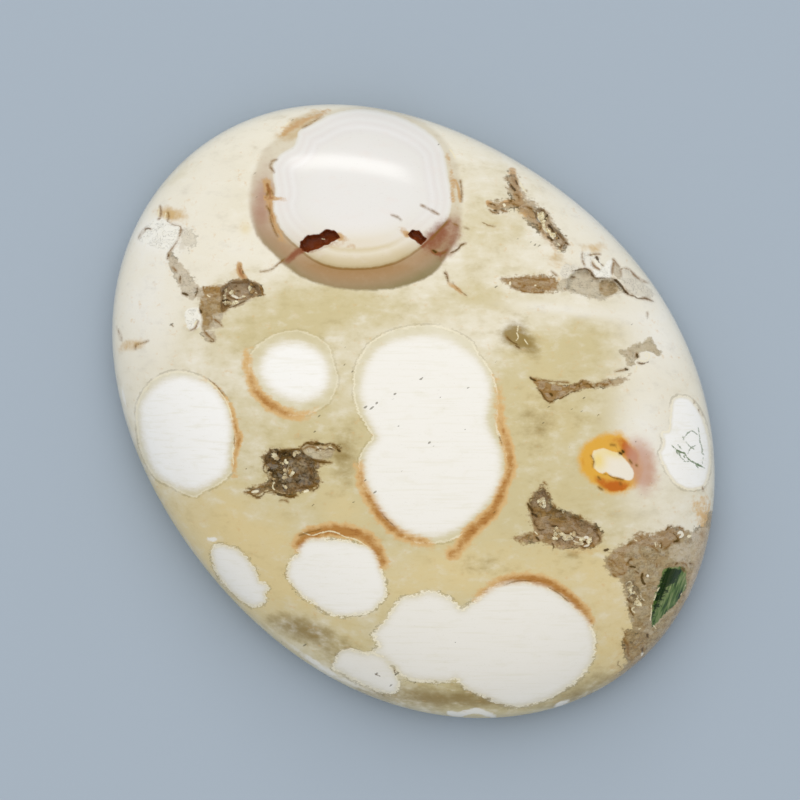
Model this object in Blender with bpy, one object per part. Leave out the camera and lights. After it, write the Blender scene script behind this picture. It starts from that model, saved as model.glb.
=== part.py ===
"""An orbicular jasper cabochon: one oval stone with a polished dome, a flat ground back and open druzy hollows.

The long axis lies along X and the dome points up. The origin is the middle of the flat back.
"""

import math

import bmesh
import bpy
from mathutils import Vector, noise

# Driving sizes of the stone, in metres
LENGTH = 0.0400
WIDTH = 0.0311
HEIGHT = 0.0090
GIRDLE_HEIGHT = 0.0013  # where the stone is widest
FOOT_HEIGHT = 0.0009  # where the dome's curve would end if it ran past the girdle band

# Shares of the outline's own radius
BACK_SHARE = 0.925  # edge of the flat back
BEVEL_SHARE = 0.982  # top of the back's ground bevel
BAND_SHARE = 0.985  # top of the near upright girdle band
DOME_SPREAD = 1.012  # where the dome's curve would reach its foot
DOME_POWER = 2.2  # 2 is an ellipse, more is a flatter crown with fuller shoulders
BEVEL_HEIGHT = 0.0006

# The hand-cut outline leaves the ellipse by a few low lobes: their count, height and first direction
LOBES = (
    (3, 0.000146, math.radians(-53)),
    (4, 0.000048, math.radians(58)),
    (5, 0.000060, math.radians(6)),
)

SPOKES = 96
DOME_RINGS = 18
CROWN_SHARE = 0.05  # the innermost ring round the crown's middle point

# The view from above in which the hollows were drawn: its middle, its scale and how the stone lies in it
VIEW_MIDDLE = (414.0, 410.6)
VIEW_UNITS_PER_METRE = 16955.0
VIEW_TURN = math.radians(46.95)  # the long axis runs this far below the view's horizontal

# The open hollows, each by its depth and its rim in the view from above
HOLLOWS = {
    "red_pit_left": (
        0.00075,
        ((300, 250), (301, 243), (309, 237), (320, 236), (325, 231), (335, 231), (341, 240), (330, 246),
         (319, 251), (309, 255)),
    ),
    "red_pit_right": (
        0.00065,
        ((406, 236), (412, 231), (419, 232), (427, 240), (421, 247), (414, 243)),
    ),
    "left_druse": (
        0.00060,
        ((221, 305), (222, 289), (231, 282), (250, 281), (260, 286), (264, 295), (253, 300), (242, 305),
         (231, 309), (223, 315)),
    ),
    "vein_druse": (
        0.00040,
        ((533, 212), (539, 208), (546, 213), (550, 223), (559, 234), (569, 246), (562, 250), (549, 239),
         (538, 226)),
    ),
    "ledge_druse": (
        0.00050,
        ((565, 279), (575, 270), (584, 269), (592, 273), (595, 278), (615, 279), (621, 286), (626, 294),
         (613, 295), (601, 300), (585, 298), (565, 291)),
    ),
    "angle_druse": (
        0.00045,
        ((528, 502), (534, 490), (542, 487), (548, 496), (551, 504), (565, 510), (579, 517), (595, 526),
         (598, 534), (591, 544), (575, 547), (553, 543), (535, 530), (529, 516)),
    ),
    "dark_druse": (
        0.00035,
        ((265, 457), (272, 449), (300, 449), (314, 457), (318, 471), (316, 482), (307, 490), (290, 494),
         (277, 490), (268, 477)),
    ),
    "edge_druse": (
        0.00040,
        ((623, 582), (631, 578), (640, 590), (643, 602), (637, 609), (628, 603)),
    ),
}
RIM_DEPTH_SHARE = 0.45  # a hollow's wall goes down this share of its depth before its floor bends in
CRYSTAL_SIZE = 0.00055  # spacing of the angular lumps of a hollow's floor
CRYSTAL_RELIEF = 0.00012
CUTTER_CLEARANCE = 0.001  # how far a cutter stands out of the dome


def outline_point(angle):
    """The widest edge of the stone, as drawn round the ellipse, before it is centred."""
    x = LENGTH / 2 * math.cos(angle)
    y = WIDTH / 2 * math.sin(angle)
    radius = math.hypot(x, y)
    lobes = sum(height * math.cos(count * (angle - start)) for count, height, start in LOBES)
    return Vector((x, y)) * (1 + lobes / radius)


def outline_middle():
    """The middle of the outline's own box, which becomes the origin."""
    edge = [outline_point(2 * math.pi * spoke / SPOKES) for spoke in range(SPOKES)]
    across = [p.x for p in edge]
    along = [p.y for p in edge]
    return Vector((min(across) + max(across), min(along) + max(along))) / 2


MIDDLE = outline_middle()


def dome_height(share):
    """Height of the dome at a share of the outline's radius."""
    rise = max(0.0, 1 - (share / DOME_SPREAD) ** DOME_POWER)
    return FOOT_HEIGHT + (HEIGHT - FOOT_HEIGHT) * math.sqrt(rise)


def share_at(x, y):
    """How far a point seen from above lies from the middle, as a share of the outline there."""
    drawn = Vector((x, y)) + MIDDLE
    angle = math.atan2(drawn.y / WIDTH, drawn.x / LENGTH)
    return drawn.length / outline_point(angle).length


def from_view(point):
    """A point of the view from above in the stone's own frame."""
    right = (point[0] - VIEW_MIDDLE[0]) / VIEW_UNITS_PER_METRE
    down = (point[1] - VIEW_MIDDLE[1]) / VIEW_UNITS_PER_METRE
    x = right * math.cos(VIEW_TURN) + down * math.sin(VIEW_TURN)
    y = right * math.sin(VIEW_TURN) - down * math.cos(VIEW_TURN)
    return Vector((x, y)) - MIDDLE


def profile():
    """The stone's side from the edge of the flat back up to the crown, as shares of the outline and heights."""
    side = [(BACK_SHARE, 0.0), (BEVEL_SHARE, BEVEL_HEIGHT), (1.0, GIRDLE_HEIGHT)]
    for ring in range(DOME_RINGS):
        turn = math.pi / 2 * ring / DOME_RINGS
        share = BAND_SHARE * math.cos(turn)
        side.append((max(share, CROWN_SHARE), dome_height(max(share, CROWN_SHARE))))
    return side


def make_material(name, colour, roughness):
    material = bpy.data.materials.new(name)
    material.use_nodes = True
    shader = material.node_tree.nodes["Principled BSDF"]
    shader.inputs["Base Color"].default_value = (*colour, 1)
    shader.inputs["Roughness"].default_value = roughness
    shader.inputs["Metallic"].default_value = 0.0
    return material


def make_object(name, bm, materials):
    mesh = bpy.data.meshes.new(name)
    bm.to_mesh(mesh)
    bm.free()
    for material in materials:
        mesh.materials.append(material)
    made = bpy.data.objects.new(name, mesh)
    bpy.context.scene.collection.objects.link(made)
    return made


def make_stone(materials):
    """The closed body: rings of points up the side, a flat back and a crown point."""
    bm = bmesh.new()
    rings = []
    for share, height in profile():
        ring = []
        for spoke in range(SPOKES):
            edge = (outline_point(2 * math.pi * spoke / SPOKES)) * share - MIDDLE
            ring.append(bm.verts.new((edge.x, edge.y, height)))
        rings.append(ring)
    for low, high in zip(rings, rings[1:]):
        for spoke in range(SPOKES):
            after = (spoke + 1) % SPOKES
            bm.faces.new((low[spoke], low[after], high[after], high[spoke]))
    bm.faces.new(reversed(rings[0]))
    crown = bm.verts.new((-MIDDLE.x, -MIDDLE.y, HEIGHT))
    for spoke in range(SPOKES):
        bm.faces.new((rings[-1][spoke], rings[-1][(spoke + 1) % SPOKES], crown))
    bmesh.ops.triangulate(bm, faces=[face for face in bm.faces if len(face.verts) > 3])
    bmesh.ops.recalc_face_normals(bm, faces=bm.faces[:])
    return make_object("cabochon", bm, materials)


def make_hollow_cutter(name, depth, rim, materials):
    """A closed plug with the hollow's rim, whose lower end is the hollow's floor of angular quartz lumps."""
    bm = bmesh.new()
    corners = [bm.verts.new((*from_view(point), 0)) for point in rim]
    bm.faces.new(corners)
    bmesh.ops.triangulate(bm, faces=bm.faces[:])
    while True:
        long_edges = [edge for edge in bm.edges if edge.calc_length() > 2 * CRYSTAL_SIZE]
        if not long_edges:
            break
        bmesh.ops.subdivide_edges(bm, edges=long_edges, cuts=1)
        bmesh.ops.triangulate(bm, faces=bm.faces[:])
    floor = bm.verts[:]
    on_rim = {vert for edge in bm.edges if edge.is_boundary for vert in edge.verts}
    raised = bmesh.ops.extrude_face_region(bm, geom=bm.faces[:])
    for vert in raised["geom"]:
        if isinstance(vert, bmesh.types.BMVert):
            vert.co.z = dome_height(share_at(vert.co.x, vert.co.y)) + CUTTER_CLEARANCE
    for vert in floor:
        lump = noise.cell(vert.co / CRYSTAL_SIZE * 1.7) - 0.5
        down = depth * (RIM_DEPTH_SHARE if vert in on_rim else 1.0) + 2 * lump * CRYSTAL_RELIEF
        vert.co.z = dome_height(share_at(vert.co.x, vert.co.y)) - down
    bmesh.ops.recalc_face_normals(bm, faces=bm.faces[:])
    for face in bm.faces:
        face.material_index = 1
    cutter = make_object("cutter_" + name, bm, materials)
    cutter.hide_render = True
    cutter.display_type = "WIRE"
    return cutter


def cut(stone, cutter):
    modifier = stone.modifiers.new(cutter.name, "BOOLEAN")
    modifier.operation = "DIFFERENCE"
    modifier.object = cutter


def main():
    for old in list(bpy.data.objects):
        bpy.data.objects.remove(old, do_unlink=True)
    materials = (
        make_material("polished_jasper", (0.74, 0.68, 0.53), 0.18),
        make_material("druzy_quartz", (0.36, 0.26, 0.16), 0.45),
    )
    stone = make_stone(materials)
    for name, (depth, rim) in HOLLOWS.items():
        cut(stone, make_hollow_cutter(name, depth, rim, materials))


main()
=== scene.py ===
"""The looks of an orbicular jasper cabochon: its polished surface with orbs, stains and open druzy hollows.

The stone's long axis lies along X, its dome points up and its flat back rests on the floor.
The markings are drawn as outlines in the view from above, and measured as distances on the stone's own
surface.
"""

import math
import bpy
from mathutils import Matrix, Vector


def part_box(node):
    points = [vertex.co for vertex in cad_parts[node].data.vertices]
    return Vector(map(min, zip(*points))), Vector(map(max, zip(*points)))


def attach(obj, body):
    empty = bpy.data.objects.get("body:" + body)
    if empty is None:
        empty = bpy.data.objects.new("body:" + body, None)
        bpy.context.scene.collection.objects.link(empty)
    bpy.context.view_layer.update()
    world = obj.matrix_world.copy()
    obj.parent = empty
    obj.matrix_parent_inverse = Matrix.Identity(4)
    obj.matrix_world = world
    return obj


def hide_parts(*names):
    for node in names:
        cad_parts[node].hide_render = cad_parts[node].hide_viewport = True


bl_info = {
    "name": "Orbicular Jasper Cabochon",
    "version": (1, 0, 0),
    "blender": (4, 5, 0),
    "location": "View3D > Sidebar > Cabochon",
    "description": "Makes the polished stone, the quartz points in its hollows and a softly lit stage",
    "category": "Object",
}

from collections import namedtuple

import bpy
import numpy as np
from bpy.props import FloatProperty, FloatVectorProperty, IntProperty, PointerProperty
from bpy.types import Operator, Panel, PropertyGroup
from mathutils import Vector, noise

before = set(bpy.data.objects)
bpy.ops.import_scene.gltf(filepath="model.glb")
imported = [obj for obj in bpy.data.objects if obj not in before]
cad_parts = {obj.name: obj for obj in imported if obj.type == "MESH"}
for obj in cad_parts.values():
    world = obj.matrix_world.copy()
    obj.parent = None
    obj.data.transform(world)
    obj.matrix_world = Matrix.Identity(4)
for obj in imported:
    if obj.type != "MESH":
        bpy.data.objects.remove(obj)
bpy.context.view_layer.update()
STONE_LOW, STONE_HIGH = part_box("cabochon")
MM = 0.001

# The stone's outline, as the solid is drawn: an ellipse with low lobes, each by count, height and direction
LENGTH = 0.0400
WIDTH = 0.0311
HEIGHT = STONE_HIGH.z
LOBES = (
    (3, 0.000146, math.radians(-53)),
    (4, 0.000048, math.radians(58)),
    (5, 0.000060, math.radians(6)),
)
OUTLINE_STEPS = 96  # the solid's own spokes, from which its middle is worked out

# The stone's side, as shares of the outline's radius and heights in metres
FOOT_HEIGHT = 0.0009
DOME_SPREAD = 1.012
DOME_POWER = 2.2
DOME_END_SHARE = 0.975  # where the dome hands over to the curve that turns down to the girdle
GIRDLE = (1.0, 0.0013)
BEVEL_TOP = (0.982, 0.0006)
BACK_EDGE = (0.925, 0.0)
BACK_INSIDE = (0.90, 0.0)
SHOULDER_RINGS = 5
SHOULDER_GAP = 0.6  # of a ring's step is left free above the girdle's own rounding
EDGE_ROUNDING = 0.00010
FINE_CUTS = 3  # a finer cell is cut into this many by this many
FINE_REACH = 0.14  # how far from a line's edge the cells are cut finer, in mm
INSIDE_BOX = 0.9995  # keeps the fine outline inside the faceted one's box

# The view from above in which the markings are drawn: its middle, its scale and how the stone lies in it
VIEW_MIDDLE = (414.0, 410.6)
VIEW_UNITS_PER_MM = 16.955
VIEW_TURN = math.radians(46.95)  # the long axis runs this far below the view's horizontal
VIEW_SIDE = 800  # the view is this many units wide and high
FAR = 3.0  # no marking is measured further away than this, in mm
NO_LENGTH = 1e-9  # stands in for the squared length of a segment that has none

# Markings close off on the way down to the back, where the stone's pattern in depth takes over
FADE_HEIGHT = 0.7  # mm
FADE_END = 0.05  # mm, where only the pattern in depth is left
FADE_GAIN = 8.0
BACK_WEIGHTS = {"khaki": 0.8, "gold": 0.25, "olive": 0.3}

CORE_INSET = 0.10  # mm between an orb's outer line and its white, where the two aren't drawn apart
PATCH_BLEND = 0.04  # mm over which one quartz patch runs into the next
LINE_TAPER = 4.0  # how fast a fine line thins towards its ends
LINE_END = 0.4  # the share of its width left there
STROKE_REACH = 2.2  # half widths from its line at which a stroke has faded
FLECK_TURN = math.radians(35)
FLECK_SHAPE = 2.4  # how many times longer than wide a fleck is
HOLLOW_WANDER = 5.0  # units of the view over which a hollow's rim wanders
HOLLOW_NEAR = 0.5  # how close to its rim that wander is worked out, in mm

# An orb: the outlines of its shell and core, how soft the core's edge is in mm, and its parts' strengths
Orb = namedtuple("Orb", "shell core soft tone rim outline fill uneven")

ORBS = {
    "left": Orb(
        shell=(
            (137, 412), (141, 398), (150, 384), (163, 375), (181, 371), (198, 375), (213, 383), (227, 397),
            (233, 411), (237, 427), (239, 440), (235, 450), (236, 463), (232, 473), (222, 483), (207, 490),
            (198, 496), (187, 494), (172, 486), (158, 479), (147, 464), (140, 444),
        ),
        core=(
            (141, 410), (147, 396), (156, 386), (170, 378), (188, 376), (204, 381), (218, 391), (226, 402),
            (231, 416), (233, 432), (231, 448), (230, 464), (224, 475), (212, 483), (198, 489), (184, 488),
            (170, 482), (157, 473), (149, 458), (143, 438),
        ),
        soft=0.28, tone=1.0, rim=0.45, outline=0.30, fill=0.50, uneven=0.20,
    ),
    "small": Orb(
        shell=(
            (255, 350), (262, 344), (272, 337), (284, 333), (298, 331), (312, 335), (324, 341), (331, 349),
            (334, 360), (337, 371), (339, 380), (335, 394), (326, 406), (309, 414), (299, 416), (288, 415),
            (277, 410), (267, 402), (259, 392), (253, 381), (250, 370), (251, 359),
        ),
        core=(
            (262, 364), (268, 352), (279, 345), (293, 342), (308, 345), (321, 353), (328, 364), (330, 377),
            (326, 390), (316, 398), (304, 402), (291, 400), (278, 394), (267, 384), (262, 374),
        ),
        soft=0.38, tone=0.9, rim=0.30, outline=0.15, fill=0.35, uneven=0.24,
    ),
    "pair": Orb(
        shell=(
            (368, 346), (378, 338), (391, 332), (407, 328), (425, 326), (441, 327), (455, 333), (470, 342),
            (477, 354), (487, 366), (492, 377), (496, 390), (498, 404), (496, 417), (496, 428), (502, 441),
            (506, 455), (508, 470), (504, 484), (497, 499), (490, 510), (478, 520), (464, 531), (452, 538),
            (437, 541), (423, 542), (409, 538), (397, 530), (385, 519), (375, 506), (367, 492), (361, 478),
            (359, 464), (362, 452), (368, 443), (373, 437), (369, 429), (362, 418), (357, 408), (354, 394),
            (354, 378), (358, 362),
        ),
        core=(
            (363, 376), (370, 359), (381, 347), (396, 340), (412, 337), (428, 336), (444, 339), (460, 347),
            (472, 356), (482, 368), (488, 382), (490, 396), (487, 410), (486, 422), (492, 436), (498, 448),
            (500, 462), (499, 476), (494, 489), (486, 501), (475, 512), (464, 522), (452, 530), (438, 534),
            (423, 534), (408, 530), (395, 522), (384, 511), (376, 498), (369, 484), (365, 470), (365, 458),
            (369, 448), (376, 440), (377, 435), (372, 426), (366, 414), (362, 400), (361, 388),
        ),
        soft=0.32, tone=0.55, rim=0.50, outline=0.22, fill=0.45, uneven=0.30,
    ),
    "slim": Orb(
        shell=(
            (212, 552), (214, 546), (220, 543), (227, 544), (236, 547), (241, 550), (249, 558), (254, 565),
            (258, 573), (261, 580), (266, 582), (270, 588), (266, 592), (267, 599), (263, 603), (254, 606),
            (246, 603), (238, 597), (230, 590), (221, 579), (215, 568),
        ),
        core=None, soft=0.25, tone=0.6, rim=0.80, outline=0.45, fill=0.6, uneven=0.50,
    ),
    "capped": Orb(
        shell=(
            (287, 571), (290, 564), (291, 557), (299, 553), (299, 546), (304, 541), (311, 537), (325, 537),
            (340, 538), (353, 540), (366, 544), (374, 549), (379, 559), (382, 570), (386, 580), (387, 593),
            (383, 599), (378, 603), (372, 610), (358, 613), (344, 615), (331, 612), (320, 607), (313, 601),
            (304, 596), (297, 589), (291, 581),
        ),
        core=None, soft=0.25, tone=0.6, rim=0.85, outline=0.50, fill=0.6, uneven=0.60,
    ),
    "twin": Orb(
        shell=(
            (373, 634), (376, 628), (384, 620), (389, 612), (397, 601), (403, 595), (418, 593), (425, 589),
            (436, 590), (445, 595), (449, 594), (454, 601), (461, 607), (468, 602), (479, 594), (490, 586),
            (501, 581), (513, 579), (527, 580), (541, 583), (553, 589), (565, 597), (577, 608), (585, 616),
            (591, 627), (594, 643), (592, 656), (587, 667), (578, 678), (563, 689), (548, 698), (533, 703),
            (515, 706), (498, 702), (482, 695), (465, 687), (456, 677), (448, 680), (434, 680), (416, 679),
            (402, 674), (395, 666), (384, 657), (374, 650), (379, 643),
        ),
        core=None, soft=0.32, tone=0.40, rim=0.85, outline=0.45, fill=0.6, uneven=0.55,
    ),
    "wedge": Orb(
        shell=(
            (333, 667), (336, 657), (342, 649), (350, 647), (362, 650), (377, 652), (387, 658), (394, 668),
            (399, 679), (398, 688), (392, 693), (380, 691), (366, 685), (352, 678), (342, 672),
        ),
        core=None, soft=0.30, tone=0.3, rim=0.80, outline=0.45, fill=0.6, uneven=0.55,
    ),
    "edge": Orb(
        shell=(
            (671, 399), (676, 396), (683, 396), (690, 399), (696, 406), (701, 414), (705, 425), (709, 440),
            (710, 460), (708, 475), (704, 485), (696, 489), (685, 489), (676, 485), (668, 477), (663, 468),
            (659, 460), (657, 452), (660, 447), (661, 441), (659, 434), (661, 431), (667, 430), (668, 420),
            (669, 408),
        ),
        core=None, soft=0.10, tone=1.0, rim=0.55, outline=0.30, fill=0.0, uneven=0.20,
    ),
}

# The big orb high on the dome: its body, and the ring of altered rock around it
CROWN_BODY = (
    (300, 131), (297, 140), (293, 148), (284, 153), (277, 160), (273, 169), (274, 182), (276, 194),
    (273, 204), (275, 216), (280, 228), (288, 239), (299, 249), (313, 260), (332, 268), (355, 270),
    (380, 268), (402, 261), (420, 249), (434, 236), (447, 222), (452, 203), (449, 182), (446, 163),
    (442, 148), (430, 134), (409, 121), (384, 112), (357, 109), (333, 114), (316, 123),
)
CROWN_RING = (
    (249, 196), (251, 182), (255, 168), (262, 152), (272, 142), (283, 133), (290, 124), (298, 116),
    (312, 112), (330, 109), (350, 106), (372, 105), (395, 108), (415, 116), (432, 127), (444, 138),
    (452, 150), (457, 163), (461, 180), (463, 203), (461, 222), (457, 238), (451, 250), (444, 262),
    (437, 272), (426, 280), (408, 287), (390, 291), (368, 292), (345, 291), (325, 287), (304, 280),
    (288, 269), (274, 255), (262, 243), (254, 228), (250, 212),
)

# A coloured line: its points, its half width in mm, and its strength at the start, middle and end
Stroke = namedtuple("Stroke", "line width strengths")

# Iron halos beside the orbs
HALOS = (
    Stroke((
        (206, 378), (219, 389), (231, 404), (236, 420), (239, 436), (239, 448), (236, 460), (236, 475),
    ), 0.14, (0.25, 0.75, 0.55)),
    Stroke(((242, 432), (241, 442), (238, 450)), 0.13, (0.60, 0.95, 0.60)),
    Stroke((
        (249, 352), (249, 368), (254, 384), (263, 397), (275, 407), (288, 413), (302, 416), (316, 412),
    ), 0.27, (0.35, 0.95, 0.30)),
    Stroke((
        (493, 378), (497, 392), (499, 408), (499, 422), (504, 437), (508, 452), (509, 467), (505, 480),
        (500, 491),
    ), 0.26, (0.25, 0.75, 0.95)),
    Stroke((
        (500, 491), (496, 503), (489, 513), (479, 522), (470, 530), (463, 539), (457, 548), (451, 554),
    ), 0.30, (0.95, 1.05, 0.70)),
    Stroke((
        (360, 466), (362, 480), (368, 494), (376, 507), (386, 519), (398, 530), (411, 537), (428, 542),
    ), 0.28, (0.50, 1.05, 0.55)),
    Stroke((
        (300, 544), (306, 535), (320, 530), (338, 529), (354, 531), (366, 536), (376, 546), (382, 561),
    ), 0.31, (0.85, 1.15, 0.80)),
    Stroke((
        (476, 597), (488, 587), (500, 580), (513, 577), (528, 577), (543, 580), (556, 586), (568, 595),
        (579, 606), (588, 619),
    ), 0.26, (0.45, 1.10, 0.85)),
    Stroke((
        (700, 505), (706, 524), (700, 556), (688, 592), (672, 622), (654, 646),
    ), 0.45, (0.35, 0.50, 0.25)),
)

# Rust beside the crown orb and the vugs
RUSTS = (
    Stroke(((268, 184), (270, 197), (272, 212), (277, 228), (287, 244)), 0.30, (0.55, 0.45, 0.35)),
    Stroke(((268, 186), (270, 192), (271, 200)), 0.16, (0.85, 1.00, 0.80)),
    Stroke(((270, 201), (272, 212), (276, 226), (284, 240)), 0.09, (0.80, 0.80, 0.60)),
    Stroke(((266, 199), (275, 200), (288, 202)), 0.12, (0.85, 0.80, 0.30)),
    Stroke(((447, 156), (450, 170), (452, 186), (453, 202)), 0.15, (0.45, 0.50, 0.55)),
    Stroke(((455, 180), (458, 191), (460, 203)), 0.10, (0.45, 0.65, 0.50)),
    Stroke(((339, 238), (347, 241), (355, 243)), 0.20, (0.80, 0.40, 0.10)),
    Stroke(((331, 247), (343, 246), (356, 248)), 0.22, (0.28, 0.38, 0.28)),
    Stroke(((407, 236), (401, 232), (394, 229)), 0.18, (0.80, 0.40, 0.10)),
    Stroke(((284, 135), (293, 128), (303, 123), (315, 117), (328, 113)), 0.20, (0.50, 0.62, 0.35)),
    Stroke(((241, 266), (242, 274), (247, 281)), 0.16, (0.70, 1.00, 0.80)),
    Stroke(((448, 284), (456, 290), (467, 299)), 0.12, (0.40, 0.70, 0.20)),
    Stroke(((512, 171), (513, 182), (516, 193), (519, 202)), 0.20, (0.60, 0.90, 0.85)),
    Stroke(((488, 205), (496, 208), (505, 205), (514, 203)), 0.16, (0.85, 0.85, 0.75)),
    Stroke(((519, 204), (527, 213), (536, 222), (546, 236), (556, 250)), 0.32, (0.60, 0.65, 0.35)),
)

# Red iron stain beside the two pits
REDS = (
    Stroke(((447, 226), (439, 235), (430, 245)), 0.62, (0.60, 0.85, 0.80)),
    Stroke(((449, 223), (441, 231), (432, 240), (423, 248)), 0.15, (0.70, 0.95, 0.80)),
    Stroke(((306, 250), (297, 255), (289, 262), (281, 267)), 0.20, (1.05, 1.00, 0.35)),
    Stroke(((429, 249), (434, 254), (441, 255), (448, 250)), 0.14, (0.70, 1.00, 0.70)),
    Stroke(((456, 224), (455, 236), (450, 248), (442, 258)), 0.48, (0.55, 0.72, 0.55)),
    Stroke(((302, 248), (312, 253), (325, 249), (338, 244)), 0.12, (0.70, 0.55, 0.45)),
    Stroke(((444, 270), (447, 277), (447, 283)), 0.08, (0.50, 0.70, 0.40)),
)

# Pale chips and rims along the stone's edge, and two painted highlights: a short glint on the left edge and a
# thin pale streak near the right edge
CHIPS_AND_HIGHLIGHTS = (
    # A painted glint on the left edge
    Stroke(((124, 380), (124, 396), (129, 412)), 0.09, (0.30, 0.90, 0.30)),
    Stroke(((262, 618), (296, 648), (340, 677), (395, 700)), 0.20, (0.20, 0.70, 0.40)),
    Stroke((
        (449, 712), (458, 714), (468, 711), (478, 710), (487, 713), (494, 716),
    ), 0.17, (0.80, 1.00, 0.70)),
    Stroke(((555, 706), (561, 703), (568, 700)), 0.14, (0.60, 1.00, 0.60)),
    # A painted highlight: a thin pale streak near the right edge
    Stroke(((649, 398), (649, 409), (649, 421)), 0.06, (0.30, 0.50, 0.30)),
    Stroke(((209, 538), (213, 539), (217, 538)), 0.14, (0.60, 0.90, 0.60)),
    Stroke(((663, 571), (656, 584), (651, 600), (650, 614)), 0.07, (0.60, 0.90, 0.60)),
)

# The orange orb: its halo and its pale core
ORANGE_HALO = (
    (576, 461), (578, 450), (584, 442), (595, 436), (608, 432), (619, 433), (624, 436), (628, 442),
    (634, 449), (639, 458), (640, 469), (637, 480), (630, 488), (620, 493), (607, 492), (596, 486),
    (586, 478), (579, 471),
)
ORANGE_CORE = (
    (591, 451), (595, 449), (602, 448), (611, 451), (618, 453), (622, 458), (627, 463), (631, 469),
    (632, 474), (629, 480), (622, 479), (616, 477), (608, 475), (604, 472), (600, 473), (594, 470),
    (591, 466), (592, 461), (590, 457),
)

# Quartz seen in the polish: the outline, how brown, pale and dark it is, how much it covers, and its edge's
# softness in mm. A later one lies over an earlier one.
Patch = namedtuple("Patch", "outline brown pale dark cover soft")

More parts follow.
